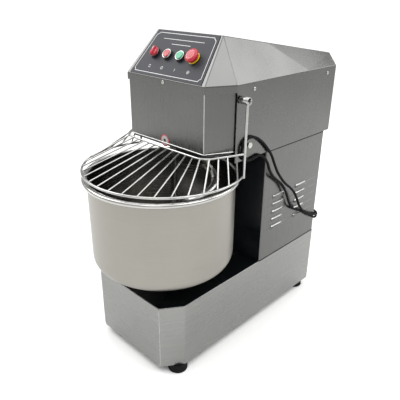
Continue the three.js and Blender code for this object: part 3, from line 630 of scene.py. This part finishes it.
def make_base():
    """The skirt is folded sheet, with a rounded top edge that turns in over the deck."""
    low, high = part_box("base_housing")
    cut_x, cut_y = BASE_CUT
    corners = [(low.x + cut_x, low.y), (high.x - cut_x, low.y), (high.x, low.y + cut_y), (high.x, high.y),
               (low.x, high.y), (low.x, low.y + cut_y)]
    section = [
        *edge(low.z, [(3, 0.3), (1.2, 0), (0.3, 0.5), (0, 1.6)]),
        *edge(high.z, [(0, -2.4), (0.3, -1.1), (1, -0.3), (2, 0), (3.2, -0.1), (3.6, -0.6), (3.5, -1.2),
                       (1.5, -1.6)]),
        *edge(low.z, [(1.5, 2.6), (3, 2.2)]),
    ]
    shape = Shape().wall(plan(corners, 4 * MM), section)
    # The skirt takes the lightened copy of the sheet steel, which paints light on it.
    make_piece("base_skirt", shape, "stainless_level", ["base_housing"], crease=40)
    # Thin rods of bright metal on the front corners' folds paint the folds' highlights.
    folds = Shape()
    for sign in (-1, 1):
        x, y = sign * (high.x - cut_x), low.y + 0.9 * MM
        bottom, top = low.z + 6 * MM, high.z - 4 * MM
        folds.sweep([(x, y, bottom), (x, y, (bottom + top) / 2), (x, y, top)], 1.1 * MM, 10)
    make_piece("base_fold_highlights", folds, "polished")

    for end in ("front", "rear"):
        for side, _ in SIDES:
            node = f"foot_{end}_{side}"
            low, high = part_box(node)
            place = Matrix.Translation(((low.x + high.x) / 2, (low.y + high.y) / 2, 0))
            foot = Shape().turned(FOOT_PROFILE, 64, place)
            make_piece(f"rubber_{node}", foot, "foot_rubber", [node])


# ---------- column ----------
SKIRT_SHADE_STRIP = 0.5745  # where the black strip that paints the shade under the cover's skirt starts
STEP = 0.0001  # the width of a sharp step in the side panel's grid
TINY = 1e-6
FOLD = 3 * MM
LOUVRE_ACROSS = (0, 0.25, 0.5, 0.65, 0.75, 0.83, 0.9, 0.95, 0.98, 1)
LOUVRE_UP = (0, 0.15, 0.3, 0.45, 0.58, 0.68, 0.76, 0.83, 0.89, 0.94, 0.98, 1)
REAR_SCREWS = {"rows": 4, "inset": 12 * MM, "margin": 20 * MM, "top": 0.584}


def louvre_lines():
    """Where the side panel's grid has its lines, closer together over each louvre."""
    edges = [0, 0.3, 0.8, 1.6, 2.6, 4]
    ys = [SIDE_LOW.y + e * MM for e in edges] + [SIDE_HIGH.y - e * MM for e in edges]
    for centre in LOUVRE["centres"]:
        for share in LOUVRE_ACROSS:
            ys += {centre - share * LOUVRE["half"], centre + share * LOUVRE["half"]}
    zs = [SIDE_LOW.z + e * MM for e in edges] + [SIDE_HIGH.z - e * MM for e in edges]
    for row in range(LOUVRE["rows"]):
        strip_outline = LOUVRE["first"] + row * LOUVRE["pitch"]
        zs += [strip_outline - LOUVRE["slot"] - STEP, strip_outline - LOUVRE["slot"], strip_outline - STEP]
        zs += [strip_outline + share * LOUVRE["height"] for share in LOUVRE_UP]
    return sorted(set(ys)), sorted(set(zs))


def louvre_rise(y, z):
    """How far the side panel's face stands out at a point: louvres, slots under them, folded edges."""
    rise = 0.0
    for centre in LOUVRE["centres"]:
        share = abs(y - centre) / LOUVRE["half"]
        if share >= 1:
            continue
        ends = math.sqrt(1 - max(0.0, (share - LOUVRE["round_from"]) / (1 - LOUVRE["round_from"])) ** 2)
        top = LOUVRE["height"] * (LOUVRE["end_height"] + (1 - LOUVRE["end_height"]) * ends)
        for row in range(LOUVRE["rows"]):
            above = z - (LOUVRE["first"] + row * LOUVRE["pitch"])
            if -LOUVRE["slot"] - TINY <= above < -TINY and share < LOUVRE["slot_half"]:
                rise = -LOUVRE["recess"]
            elif -TINY <= above < top:
                full = min(1.0, (1 - above / top) / LOUVRE["crest"])
                rise = LOUVRE["proud"] * ends * math.sqrt(1 - (1 - full) ** 2)
    for distance in (y - SIDE_LOW.y, SIDE_HIGH.y - y, z - SIDE_LOW.z, SIDE_HIGH.z - z):
        if distance < FOLD:
            rise -= FOLD - math.sqrt(FOLD**2 - (FOLD - distance) ** 2)
    return rise


def make_column():
    """The louvred side panels, whose louvres' upward faces take a much lighter steel that paints a highlight
    along their upper edges, and the rear panel's screws.
    """
    ys, zs = louvre_lines()
    for side, sign in SIDES:
        order = ys if sign > 0 else ys[::-1]
        rows = [[Vector((sign * (SIDE_FACE + louvre_rise(y, z)), y, z)) for y in order] for z in zs]
        shape = Shape().rings(rows, caps=False, around=False)
        panel = make_piece(f"side_panel_{side}", shape, "stainless", [f"column_side_{side}"], crease=50)
        panel.data.materials.append(LOOKS["worn_edge"])
        # Faces turned upwards on the louvres take the lighter steel: a painted highlight along their upper
        # edges.
        for face in panel.data.polygons:
            if face.normal.z > LOUVRE["bright"] and SIDE_LOW.z + 0.1 < face.center.z < SIDE_HIGH.z - 0.1:
                face.material_index = 1
        thicken(panel, 1.2 * MM)

    make_shade_strips()
    low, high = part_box("column_rear_panel")
    shape = Shape()
    rows, inset, margin = REAR_SCREWS["rows"], REAR_SCREWS["inset"], REAR_SCREWS["margin"]
    for x in (low.x + inset, high.x - inset):
        for row in range(rows):
            z = low.z + margin + row * (REAR_SCREWS["top"] - low.z - 2 * margin) / (rows - 1)
            add_screw(shape, (x, high.y, z), (0, 1, 0), 3.6 * MM, 1.8 * MM)
    make_piece("rear_panel_screws", shape, "zinc_screw")


def make_shade_strips():
    """Black strips that paint the shade in two gaps: along the foot of each side panel, and close under the
    cover's skirt.
    """
    shape = Shape()
    for _, sign in SIDES:
        x0, x1 = sorted((sign * (SIDE_FACE - 4 * MM), sign * (SIDE_FACE + 0.3 * MM)))
        for z, height in ((SIDE_LOW.z - 1 * MM, 3.2 * MM), (SKIRT_SHADE_STRIP, 2.4 * MM)):
            shape.block(x0, x1, SIDE_LOW.y + 3 * MM, SIDE_HIGH.y - 3 * MM, z, z + height)
    # They take the feet's black rubber, which here paints shade.
    make_piece("panel_shade_strips", shape, "foot_rubber")


SCREW_HEAD = [(0, 0), (1, 0), (1, 0.35), (0.93, 0.62), (0.78, 0.82), (0.5, 0.96), (0.34, 1), (0.22, 0.5),
              (0, 0.5)]  # shares of the radius and the height


def add_screw(shape, at, out, radius, height):
    """A pan head with a cross recess."""
    place = pointing(out, at)
    shape.lathe([(r * radius, z * height) for r, z in SCREW_HEAD], 28, place)
    for turn in (0, math.pi / 2):
        half, arm = 0.09 * radius, 0.62 * radius
        bar = place @ Matrix.Rotation(turn, 4, "Z")
        shape.block(-arm, -0.34 * radius, -half, half, 0.8 * height, 0.97 * height, bar)
        shape.block(0.34 * radius, arm, -half, half, 0.8 * height, 0.97 * height, bar)
    return shape


# ---------- head ----------
COVER = {"front_half": 0.145, "cut": -0.078, "front_skirt": 0.762, "side_front": -0.076, "eave": 0.780,
         "top_half": 0.1175, "top_y": -0.0615, "rear_half": 0.153, "rear_z": 0.814, "fold_top_y": 0.100,
         "fold_eave_y": 0.228}
NOSE = {"front_half": 0.1405, "half": 0.176, "front": -0.1485, "cut": -0.072, "rear": -0.062}
COVER_LOW, COVER_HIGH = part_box("head_cover")
SLOPE_RISE = COVER_HIGH.z - COVER["eave"]
SLOPE_RUN = COVER["top_y"] - COVER_LOW.y
SLOPE_MIDDLE = (0, (COVER_LOW.y + COVER["top_y"]) / 2, (COVER_HIGH.z + COVER["eave"]) / 2)
SLOPE = Matrix.Translation(SLOPE_MIDDLE) @ Matrix.Rotation(math.atan2(SLOPE_RISE, SLOPE_RUN), 4, "X")


def make_cover():
    """The hood: folded sheet with a sloping front, clipped front corners and a crease in each long slope."""
    c = COVER
    half, rear, skirt = COVER_HIGH.x, COVER_HIGH.y, COVER_LOW.z
    along = (c["fold_top_y"] - c["top_y"]) / (rear - c["top_y"])
    fold_x = c["top_half"] + along * (c["rear_half"] - c["top_half"])
    fold_z = COVER_HIGH.z + along * (c["rear_z"] - COVER_HIGH.z)
    right = [
        (c["front_half"], COVER_LOW.y, c["front_skirt"]), (c["front_half"], COVER_LOW.y, c["eave"]),
        (half, c["cut"], c["front_skirt"]), (half, c["cut"], c["eave"]),
        (half, c["side_front"], c["front_skirt"]), (half, c["side_front"], skirt),
        (half, rear, skirt), (half, rear, c["eave"]), (half, c["fold_eave_y"], c["eave"]),
        (c["top_half"], c["top_y"], COVER_HIGH.z), (fold_x, c["fold_top_y"], fold_z),
        (c["rear_half"], rear, c["rear_z"]),
    ]
    n = len(right)
    faces = [(0, 2, 3, 1), (5, 6, 7, 8, 3, 2, 4), (1, 3, 9), (3, 8, 10), (3, 10, 9), (8, 7, 11), (8, 11, 10)]
    faces += [tuple(i + n for i in reversed(face)) for face in faces]
    faces += [(n, 0, 1, 1 + n), (1 + n, 1, 9, 9 + n), (9, 10, 11, 11 + n, 10 + n, 9 + n),
              (6, 6 + n, 7 + n, 11 + n, 11, 7)]
    shape = Shape().put([*right, *[(-x, y, z) for x, y, z in right]], faces)
    hood = make_piece("hood", shape, "hood_steel", ["head_cover"])
    flat_shaded(hood)
    soften(hood, 2.2 * MM, 3, 6)
    thicken(hood, 1.5 * MM)


def flat_shaded(piece):
    piece.data.polygons.foreach_set("use_smooth", [False] * len(piece.data.polygons))
    piece.data.update()


def make_nose():
    """The head's front box, with rounded folds and a hem along the bottom; bright rods on its front corners
    and the bright hem paint the folds' highlights, and a black strip under the hem paints the shade beneath
    it.
    """
    low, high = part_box("nose_shell")
    line = [(-NOSE["half"], NOSE["rear"], 0), (-NOSE["half"], NOSE["cut"], 0),
            (-NOSE["front_half"], NOSE["front"], 0), (NOSE["front_half"], NOSE["front"], 0),
            (NOSE["half"], NOSE["cut"], 0), (NOSE["half"], NOSE["rear"], 0)]
    outline = [(p.x, p.y) for p in rounded(line, 3 * MM, 5)]
    section = [(1.5 * MM, low.z), (0, low.z), (0, high.z), (1.5 * MM, high.z)]
    shape = Shape().wall(outline, section, closed=False)
    make_piece("nose_front", shape, "stainless", ["nose_shell"], crease=40)

    hem_line = [Vector((*p, low.z + 1.2 * MM)) for p in offset_outline(outline, 0.3 * MM, closed=False)]
    # The hem and the rods on the front corners take the bright metal, which paints their highlights.
    highlight_lines = Shape().sweep(hem_line, 1.5 * MM, 10)
    for sign in (-1, 1):
        x, y = sign * (NOSE["front_half"] - 0.2 * MM), NOSE["front"] + 0.5 * MM
        highlight_lines.sweep([(x, y, low.z + 2 * MM), (x, y, 0.69), (x, y, COVER["front_skirt"])], 1.3 * MM, 10)
    make_piece("nose_highlight_lines", highlight_lines, "polished")

    # A black strip hung below the hem paints the shade under the nose's bottom edge.
    strip_outline = offset_outline(outline, 6 * MM, closed=False)
    section = edge(low.z, [(0, -7.5), (0, 2), (1.5, 2), (1.5, -7.5)])
    strip_shape = Shape().wall(strip_outline, section, closed=False)
    make_piece("underside_shade_strip", strip_shape, "deck_paint")
    make_emblem()


EMBLEM = {"x": -0.002, "z": 0.62, "disc": 16.4, "ring": (13.2, 16.2), "dot": 4.2}  # radii in millimetres


def make_emblem():
    """A plain round mark: a red ring and a dark dot on a white disc."""
    place = pointing((0, -1, 0), (EMBLEM["x"], NOSE["front"] - 0.05 * MM, EMBLEM["z"]))
    disc = Shape().turned([(0, 0), (EMBLEM["disc"], 0), (EMBLEM["disc"], 0.25), (0, 0.25)], 48, place)
    make_piece("mark_disc", disc, "mark_white")
    ring = flat_ring(*EMBLEM["ring"], 0.2, 0.4, place)
    make_piece("mark_ring", ring, "red_ink")
    dot = Shape().turned([(0, 0.2), (EMBLEM["dot"], 0.2), (EMBLEM["dot"], 0.4), (0, 0.4)], 32, place)
    make_piece("mark_dot", dot, "black_plastic")


def flat_ring(inner, outer, low, high, place, shape=None, segments=48):
    """A flat ring, in millimetres, alone or added to a shape."""
    profile = [(inner, low), (outer, low), (outer, high), (inner, high), (inner, low)]
    return (shape or Shape()).turned(profile, segments, place)


SCREW_OUT = {"front": (0, -1, 0), "left": (-1, 0, 0), "right": (1, 0, 0)}  # by the third word of the name


def make_head_details():
    """The cover's screws, and the stud that the cord hangs on."""
    for node in frame["nodes"]:
        if node.startswith("cover_screw"):
            low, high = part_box(node)
            out = Vector(SCREW_OUT[node.split("_")[2]])
            at = (low + high) / 2 - out * 1.3 * MM
            make_piece(f"pan_{node}", add_screw(Shape(), at, out, 5 * MM, 2.4 * MM), "zinc_screw", [node])

    low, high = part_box("cord_stud")
    profile = [(0, 0), (5.2, 0), (5.2, 11), (7.6, 11), (8, 11.5), (8, 14.2), (7.4, 15), (0, 15.2)]
    place = pointing((1, 0, 0), (low.x - 0.2 * MM, (low.y + high.y) / 2, (low.z + high.z) / 2))
    stud = Shape().turned(profile, 40, place)
    make_piece("cord_hook_stud", stud, "zinc_screw", ["cord_stud"])


# ---------- control panel ----------
def control_place(name):
    return SLOPE @ Matrix.Translation((PANEL_PLACES[name] * PANEL_STEP, PANEL_ROW, 0))


def control_shape(name, profile, segments=48):
    """A turned piece of one control, from a profile in millimetres above the slope."""
    return Shape().turned(profile, segments, control_place(name))


def make_panel():
    seat = 1.8
    for name in PANEL_PLACES:
        top = 6.3 if name == "emergency" else 9.6
        base = [(11, seat), (15, seat), (15, seat + 1.2), (14.4, seat + 1.6), (14.4, top - 0.6), (14, top),
                (11, top), (11, seat)]
        make_piece(f"{name}_base", control_shape(name, base), "black_plastic", [f"{name}_collar"])
    for name, bezel_top in (("selector", 9.95), ("stop", 11.4), ("start", 11.4)):
        bezel = [(11.1, 9), (13.4, 9), (13.6, 9.5), (13.2, bezel_top - 0.6), (12.4, bezel_top),
                 (11.1, bezel_top - 0.2), (11.1, 9)]
        make_piece(f"{name}_bezel", control_shape(name, bezel), "polished")
    make_selector()
    make_buttons()
    make_emergency()
    make_markings()


def make_selector():
    disc = [(0, 10.1), (12.6, 10.1), (13, 10.6), (12.9, 12.6), (12.2, 14.2), (10.6, 15.2), (0, 15.3)]
    shape = control_shape("selector", disc)
    stations = [(13.6, 5, 12.2), (15.5, 4.5, 12.5), (18, 3.9, 12.2), (19.8, 3.2, 11.4), (20.6, 2.2, 10.2)]
    grip = []
    for z, half_x, half_y in stations:
        corners = [(-half_x, -half_y), (half_x, -half_y), (half_x, half_y), (-half_x, half_y)]
        grip.append(rounded([(a * MM, b * MM, z * MM) for a, b in corners], 3 * MM, 5, closed=True))
    place = control_place("selector")
    shape.rings(grip, place)
    make_piece("selector_grip", shape, "red_plastic", ["selector_knob"], body="selector", crease=40)
    line = Shape().block(-0.7 * MM, 0.7 * MM, 2 * MM, 9.8 * MM, 20.3 * MM, 20.75 * MM, place)
    make_piece("selector_line", line, "white_ink", body="selector")


def make_buttons():
    cap = [(0, 5.5), (10.6, 5.5), (10.6, 11.8), (10.1, 12.6), (9, 12.9), (7.5, 12.6), (0, 12.2)]
    for name, color in (("stop", "red_plastic"), ("start", "green_plastic")):
        make_piece(f"{name}_cap", control_shape(name, cap), color, [f"{name}_button"],
                   body=f"{name}_button", crease=40)


def make_emergency():
    ring = [(11.2, 5.9), (16, 5.9), (16.6, 6.2), (16.6, 6.7), (16, 7), (12.4, 7), (11.2, 6.8), (11.2, 5.9)]
    make_piece("emergency_ring", control_shape("emergency", ring, 72), "yellow_plastic")
    stem = [(0, 5.2), (8.3, 5.2), (8.5, 5.6), (8.5, 8.6), (7.9, 9), (7.9, 11.3), (0, 11.3)]
    make_piece("emergency_post", control_shape("emergency", stem), "stem_plastic", ["emergency_stem"],
               body="emergency_stem")
    head = [(0, 10.9), (13, 10.9), (14.6, 11.1), (17, 12.6), (18.3, 14.6), (18.6, 17.2), (18.3, 19.2),
            (17.3, 20.9), (15.4, 22), (12.9, 22.8), (11.9, 23), (11.6, 22.5), (10.7, 22.5), (10.4, 23.2),
            (6, 23.7), (0, 23.9)]
    make_piece("emergency_knob", control_shape("emergency", head, 72), "red_plastic", ["emergency_head"],
               body="emergency_head", crease=40)
    inlay = flat_ring(10.6, 11.7, 22.4, 23, control_place("emergency"))
    make_piece("emergency_inlay", inlay, "pale_red", body="emergency_head")


def notched(plate, margin, notch):
    """A closed outline inside a four-cornered plate, with each corner cut back by a small inward curve."""
    inner = offset_outline(plate, margin)
    line = []
    for i, corner in enumerate(inner):
        before, after = inner[i - 1], inner[(i + 1) % len(inner)]
        first = corner + (before - corner).normalized() * notch
        last = corner + (after - corner).normalized() * notch
        deep = corner + ((before - corner).normalized() + (after - corner).normalized()) * notch * 0.75
        for k in range(7):
            t = k / 6
            line.append((1 - t) ** 2 * first + 2 * t * (1 - t) * deep + t * t * last)
    return line


def make_markings():
    """Plain white printing: a border, two ruled lines above the controls, and a symbol under each."""
    half, top_half, length = (PLATE[k] * MM for k in ("half", "top_half", "half_length"))
    plate = [(-half, -length), (half, -length), (top_half, length), (-top_half, length)]
    low, high = (z * MM for z in INK)
    border = notched(plate, 7 * MM, 8 * MM)
    section = [(0, low), (0, high), (1.5 * MM, high), (1.5 * MM, low)]
    shape = Shape()
    flat = Shape().wall([(p.x, p.y) for p in border], section)
    shape.put(flat.points, flat.faces, SLOPE)
    for reach, y in ((74, 43), (34, 29)):
        shape.block(-reach * MM, reach * MM, (y - 0.7) * MM, (y + 0.7) * MM, low, high, SLOPE)
    for name in PANEL_PLACES:
        add_symbol(shape, name, control_place(name) @ Matrix.Translation((0, -37 * MM, 0)))
    make_piece("panel_markings", shape, "white_ink")


def add_symbol(shape, name, place):
    """Stop has a ring, start a bar, the selector two arrows, and the emergency stop a ring and a dot."""
    low, high = (z * MM for z in INK)
    rings = {"stop": [(2.8, 3.9)], "emergency": [(3.4, 4.3), (0.01, 1.5)]}
    for inner, outer in rings.get(name, []):
        flat_ring(inner, outer, *INK, place, shape, 32)
    if name == "start":
        shape.block(-0.6 * MM, 0.6 * MM, -3.6 * MM, 3.6 * MM, low, high, place)
    elif name == "selector":
        for turn in (0, 180):
            arc = [at_angle(4.2, a) for a in range(turn + 20, turn + 141, 10)]
            outline = [*arc, *reversed([p * 0.78 for p in arc])]
            head = [at_angle(2.2, turn + 135), at_angle(5.4, turn + 135), at_angle(3.7, turn + 165)]
            shape.prism(outline, low, high, place).prism(head, low, high, place)


def at_angle(radius, degrees):
    """A point in plan, at a radius in millimetres."""
    angle = math.radians(degrees)
    return Vector((radius * MM * math.cos(angle), radius * MM * math.sin(angle)))


# ---------- bowl and tools ----------
def quarter(radius, fillet, floor, steps):
    """The curve from a flat floor to an upright wall."""
    turns = [math.pi / 2 * i / steps for i in range(steps + 1)]
    return [(radius - fillet + fillet * math.sin(t), floor + fillet - fillet * math.cos(t)) for t in turns]


def make_bowl():
    """A spun bowl with a rolled rim; its inside has a material of its own, and its rim a lighter, glossier
    steel whose extra lightness is a painted highlight.
    """
    bottom, rim = BOWL_LOW.z, BOWL_HIGH.z
    bead_r, bead_z = BOWL_RADIUS + BOWL_BEAD, rim - BOWL_BEAD
    turns = [math.radians(a) for a in range(-165, 166, 15)]
    bead = [(bead_r + BOWL_BEAD * math.cos(t), bead_z + BOWL_BEAD * math.sin(t)) for t in turns]
    inside = quarter(BOWL_RADIUS - BOWL_WALL, BOWL_FILLET - BOWL_WALL, bottom + BOWL_WALL, 12)[::-1]
    profile = [(0, bottom), (0.05, bottom), *quarter(BOWL_RADIUS, BOWL_FILLET, bottom, 12), *bead,
               (BOWL_RADIUS - BOWL_WALL, rim - 4 * MM), *inside, (0.05, bottom + BOWL_WALL),
               (0, bottom + BOWL_WALL)]
    shape = Shape().lathe(profile, 128, Matrix.Translation(BOWL_CENTRE))
    bowl = make_piece("mixing_bowl", shape, "bowl_steel", ["bowl"], body="bowl", crease=50)
    bowl.data.materials.append(LOOKS["bowl_inside"])
    bowl.data.materials.append(LOOKS["bowl_rim"])
    for face in bowl.data.polygons:
        reach = (face.center - BOWL_CENTRE).xy.length
        if face.center.z > rim - 2.2 * BOWL_BEAD and reach > BOWL_RADIUS - BOWL_WALL / 2:
            face.material_index = 2
        elif reach < BOWL_RADIUS - BOWL_WALL / 2 and face.normal.xy.dot((face.center - BOWL_CENTRE).xy) < 0:
            face.material_index = 1


HOOK = {"x": 0.072, "y": -0.070, "flange": 0.584, "neck": 0.040, "drop": 0.244, "reach": 0.061,
        "bar": 12.5 * MM, "first_turn": 0.22, "turns": 1.3, "steps": 26, "tip": 14}


def make_tools():
    """The spiral hook on its hub, and the breaker bar beside it."""
    x, y, flange, steps, tip = (HOOK[k] for k in ("x", "y", "flange", "steps", "tip"))
    points = [(x, y, flange - 4 * MM), (x, y, flange - 26 * MM)]  # straight down through the hub first
    for i in range(1, steps + 1):
        t = i / steps
        angle = 2 * math.pi * (HOOK["first_turn"] - HOOK["turns"] * t)
        reach = HOOK["reach"] * min(1, 0.18 + 2.6 * t)
        height = flange - HOOK["neck"] - HOOK["drop"] * t**1.05
        points.append((x + reach * math.cos(angle), y + reach * math.sin(angle), height))
    line = catmull_rom(points, 5)
    tapering = [HOOK["bar"] * math.sqrt(1 - 0.96 * (k / tip) ** 2.5) for k in range(1, tip + 1)]
    radii = [HOOK["bar"]] * (len(line) - tip) + tapering
    shape = Shape().sweep(line, radii, 20)
    hub = [(0, -14), (15, -14), (17, -13), (17, -12), (20, -12), (21, -11), (21, 11), (20, 12.5), (17, 14),
           (0, 14)]
    shape.turned(hub, 48, Matrix.Translation((x, y, flange)))
    make_piece("mixing_hook", shape, "tool_steel", ["spiral_hook"], body="spindle", crease=45)

    low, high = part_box("breaker_bar")
    centre = Matrix.Translation(((low.x + high.x) / 2, (low.y + high.y) / 2, 0))
    bar = [*edge(low.z, [(0, 0), (7.2, 0), (9.2, 1), (10, 3.5)]),
           *edge(high.z, [(10, -15), (11, -14), (21, -13.6), (22, -12.8), (22, 0), (0, 0)])]
    make_piece("dough_bar", Shape().lathe(bar, 48, centre), "tool_steel", ["breaker_bar"])


# ---------- guard ----------
def ring_point(degrees):
    angle = math.radians(degrees)
    r = GUARD_RING
    return Vector((r["radius"] * math.sin(angle), r["y"] - r["radius"] * math.cos(angle), r["z"]))


def rail_point(along):
    """A point on the guard's upper rail, at a length along it from its middle."""
    half = [Vector(p) for p in GUARD_RAIL["half"]]
    left = abs(along)
    for a, b in zip(half, half[1:]):
        span = (b - a).length
        if left <= span or b is half[-1]:
            x, y, z = a + (b - a) * min(1.0, left / span)
            return Vector((math.copysign(x, along), y, z))
        left -= span


def hinge_tube():
    """The hinge tube's section, with its edges broken."""
    bore, tube, length = HINGE["bore"], HINGE["tube"], HINGE["to"] - HINGE["from"]
    inner = [(bore, 0.2 * MM), (tube - 0.6 * MM, 0), (tube, 0.6 * MM), (tube, length - 0.8 * MM)]
    outer = [(tube - 0.8 * MM, length), (bore + 0.4 * MM, length), (bore, length - 0.4 * MM)]
    return [*inner, *outer, inner[0]]


def make_guard():
    """A ring, a rail and bars between them, on two arms that end in the hinge tubes."""
    ring, rail, bars, arm = GUARD_RING, GUARD_RAIL, GUARD_BARS, GUARD_ARM
    shape = Shape()
    steps = ring["steps"]
    line = [ring_point(ring["half_angle"] * (2 * i / steps - 1)) for i in range(steps + 1)]
    shape.sweep(line, ring["wire"], 14)
    right = [Vector(p) for p in rail["half"]]
    left = [Vector((-x, y, z)) for x, y, z in rail["half"][:0:-1]]
    shape.sweep(rounded([*left, *right], 12 * MM, 5), rail["wire"], 12)
    for k in range(-bars["each_side"], bars["each_side"] + 1):
        low, high = ring_point(k * bars["angle"]), rail_point(k * bars["step"])
        shape.sweep([low, low.lerp(high, 0.5), high], bars["wire"], 10)
        shape.ball(low, 1.35 * bars["wire"]).ball(high, 1.3 * bars["wire"])
    for _, sign in SIDES:
        x = sign * arm["x"]
        foot = (x, arm["y"], ring["z"] - 3 * MM)
        middle = (x, arm["y"] + 1 * MM, arm["middle_z"])
        shape.sweep([foot, middle, (x, HINGE["y"], HINGE["z"] - 2 * MM)], arm["wire"], 14)
        shape.ball((x, arm["y"], ring["z"]), 1.25 * arm["wire"], 14)
        shape.ball((x, arm["y"], rail["half"][-1][2]), 1.15 * arm["wire"], 14)
        shape.lathe(hinge_tube(), 48, pointing((sign, 0, 0), (sign * HINGE["from"], HINGE["y"], HINGE["z"])))
    make_piece("wire_guard", shape, "wire_steel", ["bowl_guard"], body="guard", crease=50)


# ---------- what stays from the frame ----------
# The head's underside takes the lightened copy of the sheet steel, which paints light on it.
NODE_LOOKS = {
    "column_rear_panel": "stainless", "head_underside": "stainless_level", "guard_shaft": "black_plastic",
    "guard_switch": "black_plastic",
}


def finish_nodes():
    """Each node that still shows gets its material, and its edges are rounded a little."""
    slots = {entry["node"]: entry["material_slot"] for entry in frame["record"]["subparts"]}
    for name, node in frame["nodes"].items():
        node.data.materials.clear()
        node.data.materials.append(LOOKS[NODE_LOOKS.get(name, slots[name])])
        if node.hide_render:
            continue
        weld = node.modifiers.new("weld", "WELD")
        weld.merge_threshold = 0.00001
        flat = node.modifiers.new("flat", "DECIMATE")
        flat.decimate_type = "DISSOLVE"
        flat.angle_limit = math.radians(1)
        soften(node, 0.5 * MM)


# ---------- studio ----------
FLOOR = {"radius": 90, "drop": 0.0002, "sides": 64}
LIT_POINT = (0, 0, 0.45)  # the machine's middle
SKY = [(0.0, 0.62), (0.3, 0.62), (0.55, 0.8), (0.76, 1.9), (1.0, 2.4)]  # brightness by height
SKY_STRENGTH = 0.95
SOFTBOXES = [  # name, direction, distance, size, radiance
    ("key", (-0.66, -0.36, 0.67), 3.2, 2.0, 4.0),
    ("rear", (0.52, 0.7, 0.49), 3.4, 1.7, 3.6),
    ("side", (0.67, 0.09, 0.74), 2.8, 1.5, 2.6),
    ("front", (0.5, -0.8, 0.9), 3.6, 1.4, 1.5),
]


def make_floor():
    radius, sides = FLOOR["radius"], FLOOR["sides"]
    turns = [2 * math.pi * i / sides for i in range(sides)]
    rim = [(radius * math.cos(a), radius * math.sin(a), -FLOOR["drop"]) for a in turns]
    mesh = bpy.data.meshes.new("floor")
    mesh.from_pydata(rim, [], [tuple(range(sides))])
    floor = link_object("floor", mesh)
    look = Look("floor_card", (0.82, 0.82, 0.81), 0.0, 0.7)
    look.vary(look.noise(3.0, 3.0), (0.81, 0.81, 0.80), (0.83, 0.83, 0.82))
    look.set(0.2, "Specular IOR Level")
    mesh.materials.append(look.material)


def softbox(name, direction, distance, size, radiance):
    """A square area light that shines at the machine's middle, with its brightness given as radiance."""
    data = bpy.data.lights.new(name, "AREA")
    data.shape = "SQUARE"
    data.size = size
    data.energy = radiance * math.pi * size**2
    light = link_object(name, data)
    middle = Vector(LIT_POINT)
    at = middle + Vector(direction).normalized() * distance
    light.matrix_world = Matrix.Translation(at) @ (middle - at).to_track_quat("-Z", "Y").to_matrix().to_4x4()


def make_studio():
    world = bpy.data.worlds.new("studio")
    SCENE.world = world
    world.use_nodes = True
    tree = world.node_tree
    place = tree.nodes.new("ShaderNodeTexCoord")
    split = tree.nodes.new("ShaderNodeSeparateXYZ")
    ramp = tree.nodes.new("ShaderNodeValToRGB")
    tree.links.new(place.outputs["Generated"], split.inputs[0])
    tree.links.new(split.outputs["Z"], ramp.inputs[0])
    tree.links.new(ramp.outputs[0], tree.nodes["Background"].inputs["Color"])
    for i, (at, value) in enumerate(SKY):
        stop = ramp.color_ramp.elements[i] if i < 2 else ramp.color_ramp.elements.new(at)
        stop.position, stop.color = at, (value, value, value, 1)
    tree.nodes["Background"].inputs["Strength"].default_value = SKY_STRENGTH
    for lamp in SOFTBOXES:
        softbox(*lamp)
    SCENE.view_settings.view_transform = "Standard"


make_camera()
make_cord()
make_gland()
make_base()
make_column()
make_cover()
make_nose()
make_head_details()
make_panel()
make_bowl()
make_tools()
make_guard()
finish_nodes()
make_floor()
make_studio()
